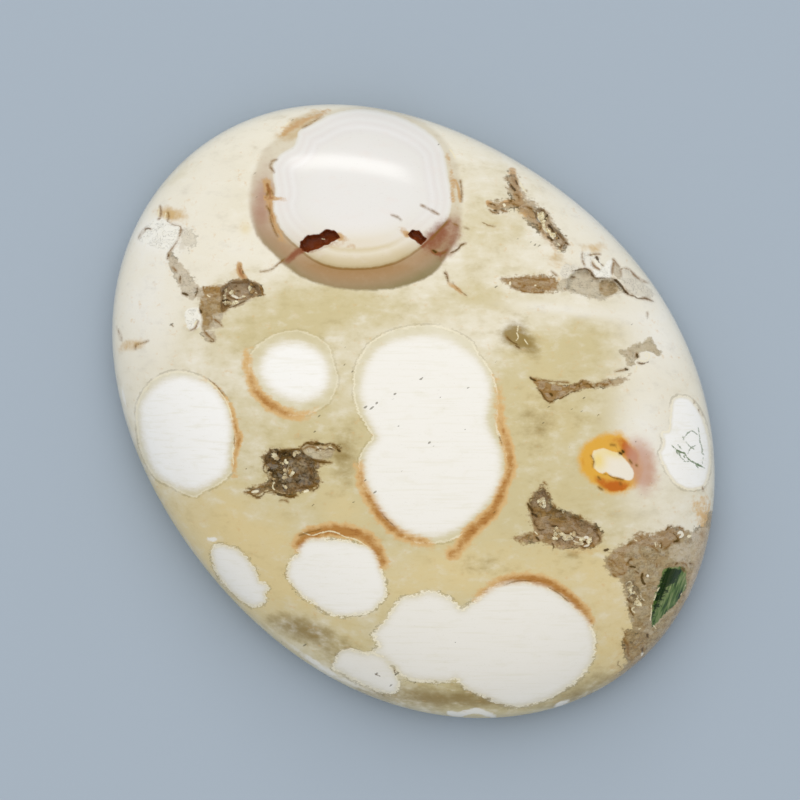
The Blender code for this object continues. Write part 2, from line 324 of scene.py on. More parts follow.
PATCHES = (
    Patch((
        (264, 461), (266, 453), (274, 449), (288, 451), (302, 447), (312, 441), (326, 444), (341, 447),
        (330, 452), (318, 455), (326, 461), (318, 468), (321, 480), (314, 488), (303, 490), (292, 496),
        (280, 492), (268, 490), (258, 495), (247, 491), (256, 486), (268, 482), (272, 474),
    ), 0.90, 0.05, 0.60, 0.95, 0.16),
    Patch((
        (303, 448), (312, 443), (325, 446), (336, 449), (328, 458), (312, 457),
    ), 0.10, 0.10, 0.00, 0.90, 0.10),
    Patch(((280, 451), (294, 450), (296, 457), (290, 460), (283, 458)), 1.00, 0.00, 0.70, 0.95, 0.08),
    Patch((
        (269, 463), (277, 460), (283, 465), (284, 476), (274, 477), (270, 471),
    ), 1.00, 0.00, 0.72, 0.95, 0.10),
    Patch(((290, 459), (300, 459), (308, 462), (304, 470), (294, 470)), 0.80, 0.05, 0.55, 0.95, 0.10),
    Patch((
        (512, 536), (522, 532), (532, 531), (530, 520), (527, 507), (532, 493), (541, 486), (548, 493),
        (550, 504), (563, 510), (580, 517), (596, 525), (600, 536), (591, 545), (574, 548), (553, 545),
        (538, 540), (524, 542),
    ), 0.95, 0.08, 0.06, 0.95, 0.18),
    Patch((
        (531, 507), (540, 503), (550, 505), (563, 511), (566, 519), (556, 522), (544, 518), (534, 516),
    ), 1.00, 0.00, 0.25, 0.90, 0.12),
    Patch((
        (507, 184), (510, 171), (516, 177), (520, 188), (526, 199), (536, 206), (547, 215), (555, 228),
        (566, 243), (561, 252), (549, 243), (539, 232), (528, 224), (519, 211), (508, 210), (497, 214),
        (489, 209), (490, 204), (501, 203), (510, 200),
    ), 0.80, 0.10, 0.05, 0.75, 0.20),
    Patch((
        (499, 280), (510, 279), (530, 277), (546, 277), (555, 280), (562, 290), (552, 293), (534, 294),
        (518, 291), (507, 286),
    ), 0.95, 0.08, 0.00, 0.95, 0.14),
    Patch((
        (556, 285), (562, 278), (571, 274), (580, 271), (590, 273), (594, 280), (613, 281), (619, 290),
        (613, 295), (605, 300), (595, 301), (585, 297), (570, 293), (557, 292),
    ), 0.12, 0.28, 0.00, 0.95, 0.10),
    Patch(((598, 282), (612, 282), (617, 290), (610, 296), (600, 295)), 0.40, 0.00, 0.12, 0.90, 0.10),
    Patch((
        (561, 268), (572, 265), (579, 268), (572, 274), (566, 279), (560, 278),
    ), 0.20, 0.65, 0.00, 0.85, 0.08),
    Patch((
        (579, 254), (588, 253), (592, 258), (590, 263), (593, 268), (588, 271), (582, 269), (580, 262),
    ), 0.10, 0.85, 0.00, 0.90, 0.06),
    Patch((
        (592, 257), (597, 258), (602, 268), (606, 262), (611, 262), (611, 275), (606, 279), (593, 278),
        (590, 272), (596, 270),
    ), 0.00, 1.00, 0.00, 0.95, 0.05),
    Patch(((612, 263), (619, 268), (620, 280), (614, 277), (611, 270)), 0.35, 0.30, 0.00, 0.90, 0.06),
    Patch((
        (620, 270), (630, 271), (640, 281), (652, 292), (650, 298), (636, 297), (627, 292), (620, 281),
    ), 0.20, 0.55, 0.00, 0.80, 0.08),
    Patch((
        (528, 377), (536, 379), (548, 383), (562, 385), (574, 384), (582, 380), (593, 387), (577, 390),
        (568, 393), (560, 397), (552, 401), (545, 402), (541, 395), (537, 389), (532, 382),
    ), 0.95, 0.05, 0.00, 0.95, 0.08),
    Patch((
        (590, 386), (600, 381), (611, 379), (622, 377), (629, 374), (622, 382), (612, 386), (600, 388),
    ), 0.90, 0.10, 0.00, 0.70, 0.14),
    Patch((
        (617, 351), (624, 350), (633, 344), (642, 342), (648, 337), (653, 343), (656, 349), (661, 354),
        (655, 356), (650, 352), (640, 352), (634, 360), (632, 366), (626, 366), (623, 358),
    ), 0.20, 0.15, 0.03, 0.90, 0.08),
    Patch((
        (170, 253), (176, 258), (184, 266), (192, 276), (203, 289), (222, 286), (234, 282), (250, 280),
        (262, 286), (263, 296), (250, 302), (240, 307), (228, 312), (224, 322), (222, 329), (212, 330),
        (205, 332), (201, 322), (203, 308), (201, 298), (192, 300), (184, 292), (177, 280), (171, 268),
    ), 0.45, 0.25, 0.03, 0.85, 0.10),
    Patch((
        (171, 258), (178, 262), (188, 273), (199, 287), (194, 296), (184, 290), (176, 276),
    ), 0.45, 0.32, 0.00, 0.85, 0.16),
    Patch((
        (203, 298), (222, 297), (228, 303), (232, 308), (226, 313), (216, 316), (213, 328), (205, 330),
        (202, 320),
    ), 0.75, 0.00, 0.06, 0.90, 0.10),
    Patch(((205, 288), (214, 287), (223, 289), (222, 298), (208, 298)), 0.95, 0.00, 0.05, 0.90, 0.10),
    Patch((
        (222, 289), (232, 282), (250, 280), (262, 286), (264, 296), (252, 300), (240, 301), (228, 300),
    ), 1.00, 0.10, 0.00, 0.90, 0.12),
    Patch((
        (188, 311), (200, 309), (203, 318), (200, 328), (191, 331), (187, 322),
    ), 0.00, 1.00, 0.00, 0.85, 0.06),
    Patch((
        (149, 223), (160, 219), (168, 223), (182, 228), (182, 236), (178, 243), (170, 252), (160, 250),
        (150, 246), (142, 243), (139, 238), (143, 231),
    ), 0.00, 1.00, 0.00, 0.90, 0.06),
    Patch(((183, 231), (194, 232), (197, 241), (190, 249), (181, 247)), 0.35, 0.35, 0.00, 0.45, 0.30),
    Patch(((203, 333), (212, 331), (218, 337), (216, 343), (208, 341)), 0.60, 0.20, 0.00, 0.70, 0.10),
    Patch((
        (604, 556), (616, 546), (628, 541), (634, 533), (650, 533), (660, 529), (669, 526), (680, 529),
        (692, 531), (702, 527), (712, 512), (740, 560), (700, 660), (640, 700), (612, 690), (622, 668),
        (632, 650), (633, 632), (627, 612), (624, 594), (618, 578), (606, 570),
    ), 0.42, 0.03, 0.16, 0.95, 0.16),
    Patch((
        (606, 557), (618, 546), (630, 540), (636, 532), (652, 533), (662, 529), (672, 527), (680, 530),
        (676, 540), (664, 545), (652, 547), (636, 545), (625, 552), (616, 560),
    ), 1.00, 0.08, 0.04, 0.90, 0.18),
    Patch((
        (606, 558), (616, 556), (625, 560), (625, 570), (616, 575), (608, 570),
    ), 0.90, 0.05, 0.00, 0.90, 0.10),
    Patch((
        (668, 546), (684, 542), (697, 545), (696, 558), (682, 562), (670, 558),
    ), 0.45, 0.15, 0.00, 0.85, 0.14),
    Patch((
        (690, 532), (706, 526), (712, 548), (706, 575), (694, 604), (685, 596), (692, 570), (694, 550),
    ), 0.60, 0.25, 0.00, 0.80, 0.16),
    Patch((
        (624, 630), (634, 630), (645, 640), (644, 655), (632, 662), (622, 652),
    ), 0.75, 0.00, 0.22, 0.80, 0.14),
)

GREEN_BLADE = (
    (662, 568), (672, 566), (684, 567), (685, 576), (686, 585), (681, 594), (674, 604), (664, 613),
    (656, 622), (651, 626), (650, 614), (652, 600), (656, 586), (660, 576),
)
GREEN_DARK = (
    (663, 568), (673, 567), (680, 568), (678, 577), (671, 584), (665, 592), (659, 602), (655, 614),
    (652, 620), (651, 608), (654, 594), (659, 580),
)

# Fine lines: their half width in mm, how brown they are (0 is nearly black, -1 is green), their strength, and
# the lines. They are cracks and seams, and painted shade: the dark lines along the hollows' rims and in the
# crevices of the druzy quartz
LineSet = namedtuple("LineSet", "width tint strength lines")

CRACKS_AND_SHADE = (
    LineSet(0.070, 0.12, 0.90, (
        ((275, 449), (279, 450), (278, 456)), ((269, 470), (272, 469)), ((315, 444), (320, 443), (325, 444)),
        ((278, 492), (282, 494), (287, 494)), ((526, 502), (529, 507), (531, 510)),
        ((530, 512), (534, 514), (536, 516)), ((534, 535), (538, 539)), ((550, 525), (555, 525), (555, 528)),
        ((602, 549), (607, 548)), ((515, 181), (517, 186)), ((510, 186), (513, 190), (515, 192)),
        ((493, 212), (496, 212)), ((547, 215), (545, 219), (544, 223)),
        ((547, 226), (550, 229), (552, 233), (556, 235)), ((546, 238), (550, 240), (551, 242)),
        ((554, 235), (556, 238), (558, 240)), ((595, 257), (597, 261)),
        ((613, 280), (617, 283), (621, 288), (624, 292), (627, 295)), ((184, 294), (187, 295), (190, 296)),
        ((202, 310), (203, 314)), ((224, 302), (228, 301), (232, 303), (232, 306)), ((628, 565), (634, 566)),
        ((641, 572), (640, 577), (642, 582), (644, 583)), ((642, 646), (641, 652)), ((646, 633), (647, 637)),
        ((432, 252), (436, 254)), ((582, 540), (584, 541)), ((528, 377), (530, 379), (534, 381)),
        ((548, 393), (551, 396)), ((635, 354), (636, 358)), ((623, 369), (626, 370)),
        ((620, 450), (622, 452)), ((617, 452), (620, 454)), ((672, 541), (677, 540)),
        ((338, 449), (341, 451)),
    )),
    LineSet(0.042, 0.35, 0.80, (
        ((271, 448), (274, 454)), ((281, 450), (290, 449), (300, 449)),
        ((293, 450), (295, 456), (299, 459), (302, 457)), ((273, 458), (279, 459), (286, 459)),
        ((272, 461), (266, 464), (265, 469), (267, 472), (270, 471)), ((270, 475), (274, 474)),
        ((283, 461), (284, 466), (287, 470)), ((290, 476), (296, 475), (300, 473)),
        ((312, 458), (320, 461), (333, 462)), ((308, 463), (311, 468), (313, 474)),
        ((301, 471), (304, 476), (308, 476)),
        ((310, 478), (315, 482), (320, 484), (318, 487), (313, 490), (309, 488), (303, 483)),
        ((297, 483), (304, 487), (316, 485)), ((275, 490), (280, 493), (290, 496), (298, 494)),
        ((252, 493), (258, 496), (263, 495), (267, 491), (274, 490)),
        ((302, 447), (308, 442), (312, 444), (325, 444), (331, 443), (337, 446), (338, 449)),
        ((317, 450), (321, 448), (326, 449), (331, 448), (336, 450)),
        ((536, 489), (540, 487), (543, 488), (545, 491), (548, 493), (547, 496)),
        ((533, 497), (528, 498), (529, 502)), ((534, 519), (533, 523), (537, 525)),
        ((536, 527), (539, 529), (543, 528)), ((556, 531), (563, 532), (569, 532), (571, 529)),
        ((573, 532), (577, 534)), ((550, 541), (552, 545), (551, 549)), ((549, 532), (552, 536), (550, 540)),
        ((578, 543), (582, 546), (587, 545), (589, 542)), ((591, 528), (596, 529)),
        ((595, 533), (598, 537), (597, 540)), ((514, 196), (518, 197), (518, 200)), ((507, 201), (511, 203)),
        ((489, 205), (495, 207)), ((525, 208), (530, 210), (534, 214), (536, 220), (540, 225)),
        ((536, 214), (536, 217)), ((540, 227), (539, 231)), ((563, 243), (568, 246)),
        ((559, 249), (561, 246)),
        ((571, 272), (576, 271), (580, 270), (584, 270), (589, 272), (591, 276), (594, 279), (600, 279),
         (613, 279)),
        ((627, 295), (633, 297), (637, 299), (645, 299), (653, 302)), ((597, 262), (602, 267)),
        ((570, 278), (574, 278)), ((139, 239), (142, 234), (146, 230), (149, 229), (152, 230)),
        ((170, 255), (169, 260)), ((182, 277), (182, 284)), ((199, 288), (199, 293), (197, 297)),
        ((244, 271), (245, 275)), ((238, 292), (241, 292)), ((237, 287), (239, 288)),
        ((225, 297), (225, 293), (227, 290)), ((229, 296), (233, 299), (241, 301)),
        ((226, 306), (232, 308), (236, 307), (242, 304), (249, 301)), ((212, 342), (216, 342)),
        ((626, 563), (627, 559), (630, 558)), ((633, 569), (637, 572)), ((663, 531), (666, 527), (671, 525)),
        ((672, 533), (675, 536), (678, 541)), ((659, 541), (660, 547)), ((674, 564), (676, 562)),
        ((688, 563), (692, 563)), ((681, 567), (684, 571)), ((625, 596), (628, 600), (631, 601)),
        ((628, 605), (630, 611), (632, 614)), ((449, 255), (457, 251), (460, 247), (465, 245)),
        ((444, 274), (446, 277), (448, 283)), ((572, 386), (577, 384), (581, 381)),
        ((581, 385), (586, 384), (590, 387), (593, 389)),
        ((535, 388), (540, 393), (543, 398), (546, 401), (551, 402)),
        ((559, 398), (565, 395), (570, 392), (577, 391)), ((636, 363), (641, 364), (647, 362)),
        ((505, 337), (510, 342), (518, 346)), ((577, 384), (578, 388)), ((514, 346), (519, 349)),
        ((375, 672), (381, 675)), ((394, 668), (396, 674)),
    )),
    LineSet(0.050, -1.0, 0.90, (
        ((670, 445), (674, 449), (679, 452), (683, 453), (686, 458), (690, 461), (694, 463), (700, 466),
         (704, 468)),
        ((682, 455), (683, 458)),
    )),
    LineSet(0.035, -1.0, 0.70, (
        ((681, 436), (682, 440)), ((676, 444), (680, 449)), ((683, 437), (686, 433), (691, 431), (697, 435)),
        ((697, 427), (698, 434), (699, 442), (701, 448), (701, 453), (703, 455)), ((702, 457), (701, 464)),
        ((682, 461), (688, 461)), ((694, 464), (697, 468)), ((684, 441), (688, 446), (693, 449)),
        ((686, 454), (689, 448), (695, 445)), ((677, 451), (679, 457), (683, 460)), ((673, 448), (676, 454)),
    )),
    LineSet(0.030, 0.35, 0.40, (
        ((421, 207), (429, 211), (438, 216)), ((464, 229), (468, 231)), ((271, 168), (273, 163), (278, 161)),
        ((271, 168), (275, 174)), ((392, 217), (397, 219), (401, 222)), ((646, 313), (646, 320)),
    )),
    LineSet(0.035, 0.80, 0.65, (
        ((589, 455), (592, 460), (591, 466)), ((602, 473), (606, 474), (611, 477), (621, 479)),
        ((627, 459), (630, 463)), ((266, 456), (270, 458), (272, 461)),
        ((246, 492), (252, 491), (258, 487), (265, 486)), ((304, 449), (310, 446), (316, 447)),
        ((280, 500), (285, 499), (289, 501)), ((525, 534), (528, 533), (534, 532)), ((517, 540), (520, 538)),
        ((551, 502), (554, 505)), ((570, 516), (576, 518), (579, 517)), ((573, 519), (577, 524)),
        ((588, 526), (591, 526)), ((590, 541), (592, 545)), ((542, 481), (545, 484)),
        ((578, 514), (580, 517)), ((489, 211), (492, 214), (498, 213)), ((500, 212), (506, 213)),
        ((512, 205), (518, 207)), ((504, 179), (507, 181)), ((504, 188), (507, 190)),
        ((538, 211), (543, 212), (547, 214)), ((556, 234), (560, 238), (564, 243)),
        ((550, 272), (554, 276), (557, 278)), ((588, 256), (594, 255), (599, 255)),
        ((581, 253), (581, 260), (583, 266)), ((591, 263), (593, 267), (598, 270)),
        ((612, 260), (616, 264), (619, 268)), ((613, 263), (611, 270), (611, 275)),
        ((620, 277), (620, 270), (625, 269), (629, 271), (634, 276), (641, 281), (648, 283)),
        ((599, 290), (601, 289)), ((516, 280), (520, 280)), ((516, 284), (519, 285)),
        ((521, 289), (524, 286)), ((533, 281), (539, 281)), ((534, 288), (539, 289)),
        ((510, 283), (511, 287)), ((562, 290), (564, 290)), ((556, 281), (557, 286)),
        ((499, 280), (510, 280), (525, 279), (540, 281), (553, 279)),
        ((508, 287), (518, 291), (530, 294), (545, 293)), ((161, 207), (162, 213), (161, 219), (159, 220)),
        ((169, 213), (170, 218), (168, 222)),
        ((168, 222), (175, 226), (182, 228), (181, 237), (179, 242), (174, 249), (170, 254)),
        ((174, 268), (178, 272)), ((200, 322), (197, 329), (191, 331)), ((205, 288), (206, 293)),
        ((173, 325), (175, 327)), ((232, 283), (240, 284), (250, 283)), ((253, 283), (256, 289)),
        ((262, 288), (265, 297)), ((216, 320), (220, 323), (224, 327)), ((206, 331), (210, 336), (216, 341)),
        ((242, 266), (243, 271)), ((137, 349), (138, 345), (143, 344), (150, 341)),
        ((118, 327), (121, 335), (122, 341)), ((286, 260), (279, 266), (272, 271), (262, 273)),
        ((607, 558), (612, 560), (615, 565)), ((611, 573), (615, 576)), ((616, 572), (621, 573), (624, 570)),
        ((625, 545), (628, 542), (633, 541)), ((631, 534), (636, 534), (640, 537)), ((637, 531), (643, 531)),
        ((676, 526), (681, 528), (682, 532)), ((662, 548), (666, 546), (668, 544)), ((650, 545), (656, 550)),
        ((680, 562), (684, 563), (686, 566)), ((655, 562), (655, 566)), ((700, 532), (702, 537)),
        ((621, 627), (624, 633), (623, 638), (627, 645), (627, 653), (631, 656)),
        ((618, 660), (617, 664), (621, 667)), ((452, 284), (458, 291), (466, 297)),
        ((269, 186), (270, 191), (268, 197)), ((272, 191), (274, 196)),
        ((268, 208), (271, 213), (272, 222), (275, 230), (279, 238)),
        ((447, 223), (441, 229), (436, 235), (431, 241)), ((441, 255), (446, 254)), ((453, 225), (458, 228)),
        ((460, 182), (461, 192), (461, 203)), ((303, 129), (312, 124), (322, 117)),
        ((535, 378), (545, 381), (556, 382), (567, 383)), ((594, 388), (596, 383), (603, 385), (607, 384)),
        ((606, 379), (609, 383), (611, 385)), ((613, 372), (624, 370)), ((300, 534), (310, 531), (322, 528)),
        ((503, 583), (516, 579), (530, 579)), ((546, 585), (558, 592), (567, 600)), ((498, 436), (501, 445)),
        ((482, 224), (488, 227), (494, 228)), ((608, 444), (613, 445)), ((596, 476), (599, 479)),
        ((596, 486), (601, 489)), ((634, 464), (635, 466)), ((618, 482), (619, 484)),
        ((693, 401), (693, 404)), ((697, 409), (701, 416)), ((701, 486), (702, 490)),
        ((236, 435), (236, 447)), ((210, 379), (219, 387), (226, 396)), ((382, 512), (388, 519), (396, 526)),
    )),
)

# Bright crystal faces, in the same way: the white and cream of the quartz, with painted glints where the
# faces catch the light. A tint of 0 is white and 1 is cream
GLINTS = (
    LineSet(0.080, 0.35, 0.90, (
        ((537, 213), (538, 218), (537, 221), (540, 223)), ((593, 260), (597, 265), (600, 269)),
        ((231, 293), (235, 297), (240, 299)), ((633, 602), (637, 603), (640, 603)), ((234, 304), (240, 303)),
        ((580, 538), (585, 536), (588, 540), (586, 544), (582, 545)), ((642, 651), (641, 655)),
        ((645, 575), (647, 574)), ((676, 533), (679, 531), (681, 534), (678, 537)),
    )),
    LineSet(0.085, 0.8, 0.95, (
        ((296, 452), (299, 451)), ((536, 502), (540, 500), (543, 503), (542, 507)), ((551, 538), (554, 536)),
        ((541, 215), (542, 219), (542, 223)), ((542, 226), (544, 231), (548, 233)),
        ((549, 234), (551, 238), (552, 240)), ((509, 283), (509, 286)), ((305, 491), (310, 489)),
        ((253, 491), (260, 490)), ((503, 205), (504, 208)), ((686, 536), (690, 535)),
    )),
    LineSet(0.045, 1.0, 0.35, (
        ((284, 462), (289, 461), (290, 466), (287, 471), (288, 478)), ((292, 467), (294, 471), (292, 474)),
    )),
    LineSet(0.045, 0.7, 0.75, (
        ((276, 452), (278, 457)), ((284, 484), (286, 487)), ((318, 446), (322, 450)),
        ((553, 531), (558, 533), (564, 534), (570, 534), (577, 536), (583, 536)),
        ((571, 539), (575, 541), (579, 543)), ((563, 536), (568, 538), (572, 537)),
        ((227, 292), (227, 297), (225, 301)), ((224, 303), (229, 304)), ((240, 299), (246, 298)),
        ((626, 596), (630, 593), (632, 591)), ((639, 592), (640, 597), (643, 599)), ((199, 310), (201, 314)),
        ((684, 586), (686, 583)), ((567, 279), (570, 275)),
        ((642, 356), (645, 353), (648, 356), (645, 361), (639, 361), (636, 357), (638, 353)),
        ((624, 376), (627, 374)), ((643, 356), (646, 357)), ((590, 254), (593, 257)),
        ((637, 599), (636, 594)),
    )),
    LineSet(0.04, 1.0, 0.85, (
        ((275, 480), (274, 486), (276, 489)), ((329, 446), (333, 447)), ((553, 527), (555, 529)),
        ((533, 530), (536, 533)), ((560, 509), (563, 510)), ((543, 217), (545, 219)),
        ((551, 236), (554, 238)), ((556, 244), (559, 247)), ((557, 251), (560, 253)),
        ((531, 211), (535, 213)), ((519, 196), (521, 198)), ((523, 200), (524, 202)),
        ((518, 179), (521, 187), (526, 194)), ((533, 287), (535, 286)), ((209, 296), (212, 298)),
        ((251, 291), (253, 287)), ((256, 293), (259, 295)), ((203, 337), (206, 339)),
        ((199, 321), (196, 326)), ((160, 208), (159, 218)), ((167, 213), (166, 220)),
        ((624, 583), (628, 580), (630, 583), (627, 589), (631, 591)), ((653, 541), (654, 545), (656, 543)),
        ((658, 546), (659, 543)), ((632, 538), (635, 540)), ((673, 604), (675, 607)),
        ((681, 592), (680, 595)), ((652, 624), (656, 629)), ((637, 628), (640, 627)),
        ((650, 603), (650, 612), (649, 620)), ((658, 586), (655, 592), (652, 600)),
        ((634, 612), (630, 608), (633, 606)), ((281, 132), (286, 127), (291, 121)),
        ((449, 150), (453, 155), (455, 161)), ((635, 366), (634, 371)), ((517, 326), (516, 333)),
        ((234, 450), (235, 465)), ((209, 380), (218, 388), (226, 398), (231, 409), (234, 420)),
        ((322, 240), (326, 241)), ((515, 333), (517, 338), (514, 342)), ((523, 340), (527, 346)),
        ((304, 531), (313, 534), (323, 531), (334, 530), (345, 535), (356, 538), (366, 544), (373, 552)),
    )),
)

# Small dark flecks, each by its place and half its length in mm
FLECKS = (
    (271, 122, 0.09), (293, 121, 0.09), (438, 146, 0.07), (355, 169, 0.06), (256, 175, 0.09),
    (258, 199, 0.08), (421, 379, 0.14), (395, 394, 0.12), (393, 399, 0.08), (467, 388, 0.10),
    (429, 442, 0.13), (433, 446, 0.08), (402, 470, 0.06), (464, 429, 0.07), (366, 407, 0.13),
    (372, 408, 0.14), (377, 403, 0.13), (353, 372, 0.10), (354, 391, 0.08), (346, 348, 0.07),
    (345, 365, 0.09), (320, 416, 0.10), (316, 431, 0.09), (305, 644, 0.12), (283, 641, 0.10),
    (415, 681, 0.09), (354, 501, 0.08), (314, 504, 0.08), (248, 468, 0.07), (495, 288, 0.10),
    (534, 246, 0.09), (538, 247, 0.08), (530, 243, 0.07), (517, 240, 0.06), (198, 293, 0.12),
    (173, 325, 0.14), (582, 398, 0.09), (541, 423, 0.09), (547, 407, 0.08), (570, 409, 0.07),
    (580, 411, 0.08), (596, 415, 0.07), (634, 441, 0.08), (595, 460, 0.06), (644, 454, 0.06),
    (649, 483, 0.06), (644, 489, 0.06), (639, 494, 0.06), (567, 447, 0.06), (630, 325, 0.08),
    (375, 491, 0.12), (366, 479, 0.10), (493, 511, 0.10), (398, 426, 0.07), (440, 397, 0.06),
    (495, 362, 0.06), (377, 672, 0.10), (397, 672, 0.16), (391, 684, 0.10), (455, 640, 0.07),
)

# A soft spot: its middle, half length and half width, its turn in degrees, and its strength
Spot = namedtuple("Spot", "middle radii turn strength")

SPOTS = {
    "khaki": (
        Spot((410, 480), (215, 150), 15, 0.97), Spot((290, 322), (95, 42), -10, 0.74),
        Spot((555, 440), (75, 130), 0, 0.80), Spot((240, 560), (130, 100), 40, 0.80),
        Spot((520, 670), (200, 100), 0, 0.97), Spot((570, 348), (65, 24), -15, 0.65),
        Spot((480, 240), (60, 60), 0, 0.38), Spot((180, 175), (34, 12), -35, 0.30),
        Spot((352, 308), (90, 16), 0, 0.36), Spot((482, 300), (40, 14), 0, 0.55),
        Spot((482, 195), (60, 45), 0, 0.32), Spot((228, 190), (50, 34), -40, 0.28),
        Spot((640, 255), (70, 14), 50, 0.30),
    ),
    "gold": (
        Spot((232, 540), (110, 56), 42, 0.90), Spot((455, 570), (125, 40), 0, 0.65),
        Spot((345, 500), (40, 30), 0, 0.35), Spot((622, 640), (44, 66), 0, 0.90),
        Spot((555, 450), (60, 70), 0, 0.35), Spot((590, 590), (50, 40), 0, 0.45),
        Spot((520, 345), (60, 40), 0, 0.20), Spot((247, 231), (7, 9), 0, 0.55),
        Spot((340, 590), (120, 60), 30, 0.30),
    ),
    # Olive smudges, and painted shade: the thin spots along the lower rim, from (300, 627) round to (590,
    # 690), darken it where the dome turns down
    "olive": (
        Spot((571, 553), (8, 4), 0, 0.60), Spot((437, 138), (6, 5), 0, 0.50),
        Spot((345, 455), (16, 36), 0, 0.62), Spot((482, 562), (34, 13), 0, 0.40),
        Spot((560, 562), (34, 16), 0, 0.20), Spot((540, 418), (44, 22), 0, 0.22),
        Spot((540, 690), (80, 9), -8, 0.35), Spot((300, 627), (36, 12), 14, 0.85),
        Spot((345, 655), (55, 16), 32, 0.55), Spot((450, 697), (110, 13), 2, 0.80),
        Spot((590, 690), (50, 16), -30, 0.55), Spot((540, 420), (32, 34), 0, 0.28),
        Spot((521, 340), (26, 18), 0, 0.30), Spot((514, 335), (12, 12), 30, 1.40),
        Spot((528, 347), (15, 8), 35, 0.80), Spot((335, 350), (18, 40), 0, 0.16),
        Spot((530, 480), (14, 50), 0, 0.22), Spot((280, 470), (56, 36), 0, 0.30),
    ),
    # White clouds in the ground, and painted sheen: the spot at the upper left, (215, 190), and the one round
    # the edge orb, (640, 440), stand partly for soft reflections
    "cloud": (
        Spot((640, 440), (38, 70), 0, 0.65), Spot((660, 330), (50, 40), 45, 0.60),
        Spot((150, 300), (40, 90), 0, 0.60), Spot((160, 238), (22, 18), 0, 0.95),
        Spot((215, 190), (60, 40), -45, 0.40), Spot((590, 215), (90, 24), 45, 0.45),
        Spot((560, 310), (80, 8), 6, 0.55), Spot((240, 250), (36, 20), 0, 0.35),
    ),
    "tan": (
        Spot((172, 215), (20, 9), 10, 0.85), Spot((133, 345), (18, 8), -10, 0.75),
        Spot((300, 128), (26, 10), -34, 1.20), Spot((526, 214), (20, 10), 35, 0.70),
        Spot((556, 262), (16, 18), 0, 0.45), Spot((594, 249), (16, 8), 0, 0.70),
        Spot((240, 273), (10, 9), 0, 0.60), Spot((214, 290), (20, 9), 0, 0.40),
        Spot((200, 215), (18, 14), 0, 0.25), Spot((647, 470), (15, 26), 0, 0.50),
        Spot((577, 550), (26, 7), 5, 0.55), Spot((625, 660), (40, 44), 0, 0.40),
        Spot((596, 432), (20, 6), 0, 0.30),
    ),
    "pink": (Spot((639, 464), (16, 30), -12, 1.10),),
    "blush": (
        Spot((262, 214), (13, 36), 6, 1.00), Spot((266, 244), (14, 14), 0, 0.85),
        Spot((288, 258), (22, 10), 30, 0.90), Spot((448, 240), (12, 20), 20, 0.95),
        Spot((430, 262), (22, 14), -20, 0.85), Spot((268, 195), (8, 10), 0, 0.70),
    ),
    "ring_low": (
        Spot((355, 284), (130, 36), 0, 1.35), Spot((276, 250), (18, 30), -45, 0.80),
        Spot((440, 256), (28, 24), 45, 0.80),
    ),
    "crown_low": (Spot((366, 262), (88, 30), 0, 1.25),),
    "orange_red": (
        Spot((629, 450), (9, 15), -35, 1.30), Spot((613, 487), (17, 8), 0, 1.20),
        Spot((597, 481), (8, 6), 20, 0.70), Spot((580, 462), (4, 8), 0, 0.50),
        Spot((612, 440), (12, 4), 0, 0.35),
    ),
    "glow": (Spot((596, 460), (8, 11), 0, 1.00), Spot((611, 452), (14, 5), 12, 0.80)),
}

# Open hollows: the depth in mm, whether it is stained red, and the rim, all as in the solid
Hollow = namedtuple("Hollow", "depth red rim")

HOLLOWS = {
    "red_pit_left": Hollow(0.75, 1, (
        (300, 250), (301, 243), (309, 237), (320, 236), (325, 231), (335, 231), (341, 240), (330, 246),
        (319, 251), (309, 255),
    )),
    "red_pit_right": Hollow(0.65, 1, (
        (406, 236), (412, 231), (419, 232), (427, 240), (421, 247), (414, 243),
    )),
    "left_druse": Hollow(0.60, 0, (
        (221, 305), (222, 289), (231, 282), (250, 281), (260, 286), (264, 295), (253, 300), (242, 305),
        (231, 309), (223, 315),
    )),
    "vein_druse": Hollow(0.40, 0, (
        (533, 212), (539, 208), (546, 213), (550, 223), (559, 234), (569, 246), (562, 250), (549, 239),
        (538, 226),
    )),
    "ledge_druse": Hollow(0.50, 0, (
        (565, 279), (575, 270), (584, 269), (592, 273), (595, 278), (615, 279), (621, 286), (626, 294),
        (613, 295), (601, 300), (585, 298), (565, 291),
    )),
    "angle_druse": Hollow(0.45, 0, (
        (528, 502), (534, 490), (542, 487), (548, 496), (551, 504), (565, 510), (579, 517), (595, 526),
        (598, 534), (591, 544), (575, 547), (553, 543), (535, 530), (529, 516),
    )),
    "dark_druse": Hollow(0.35, 0, (
        (265, 457), (272, 449), (300, 449), (314, 457), (318, 471), (316, 482), (307, 490), (290, 494),
        (277, 490), (268, 477),
    )),
    "edge_druse": Hollow(0.40, 0, ((623, 582), (631, 578), (640, 590), (643, 602), (637, 609), (628, 603))),
}
HOLLOW_WALL = 0.18  # how far in from its rim a hollow reaches its full depth, in mm
HOLLOW_RAGGED = 0.10  # how far its rim wanders, in mm
LUMP_SIZE = 0.00040  # spacing of the quartz lumps on a hollow's floor
LUMP_RELIEF = 0.00005


def linear(hex_colour):
    """A linear RGB triple from an sRGB hex value such as #E6E0D2."""
    values = [int(hex_colour[i:i + 2], 16) / 255 for i in (1, 3, 5)]
    return tuple(v / 12.92 if v <= 0.04045 else ((v + 0.055) / 1.055) ** 2.4 for v in values)


def colour(name, hex_colour, description):
    """A colour property with its default given as an sRGB hex value."""
    return FloatVectorProperty(name=name, description=description, default=linear(hex_colour),
                               subtype="COLOR", size=3, min=0.0, max=1.0)


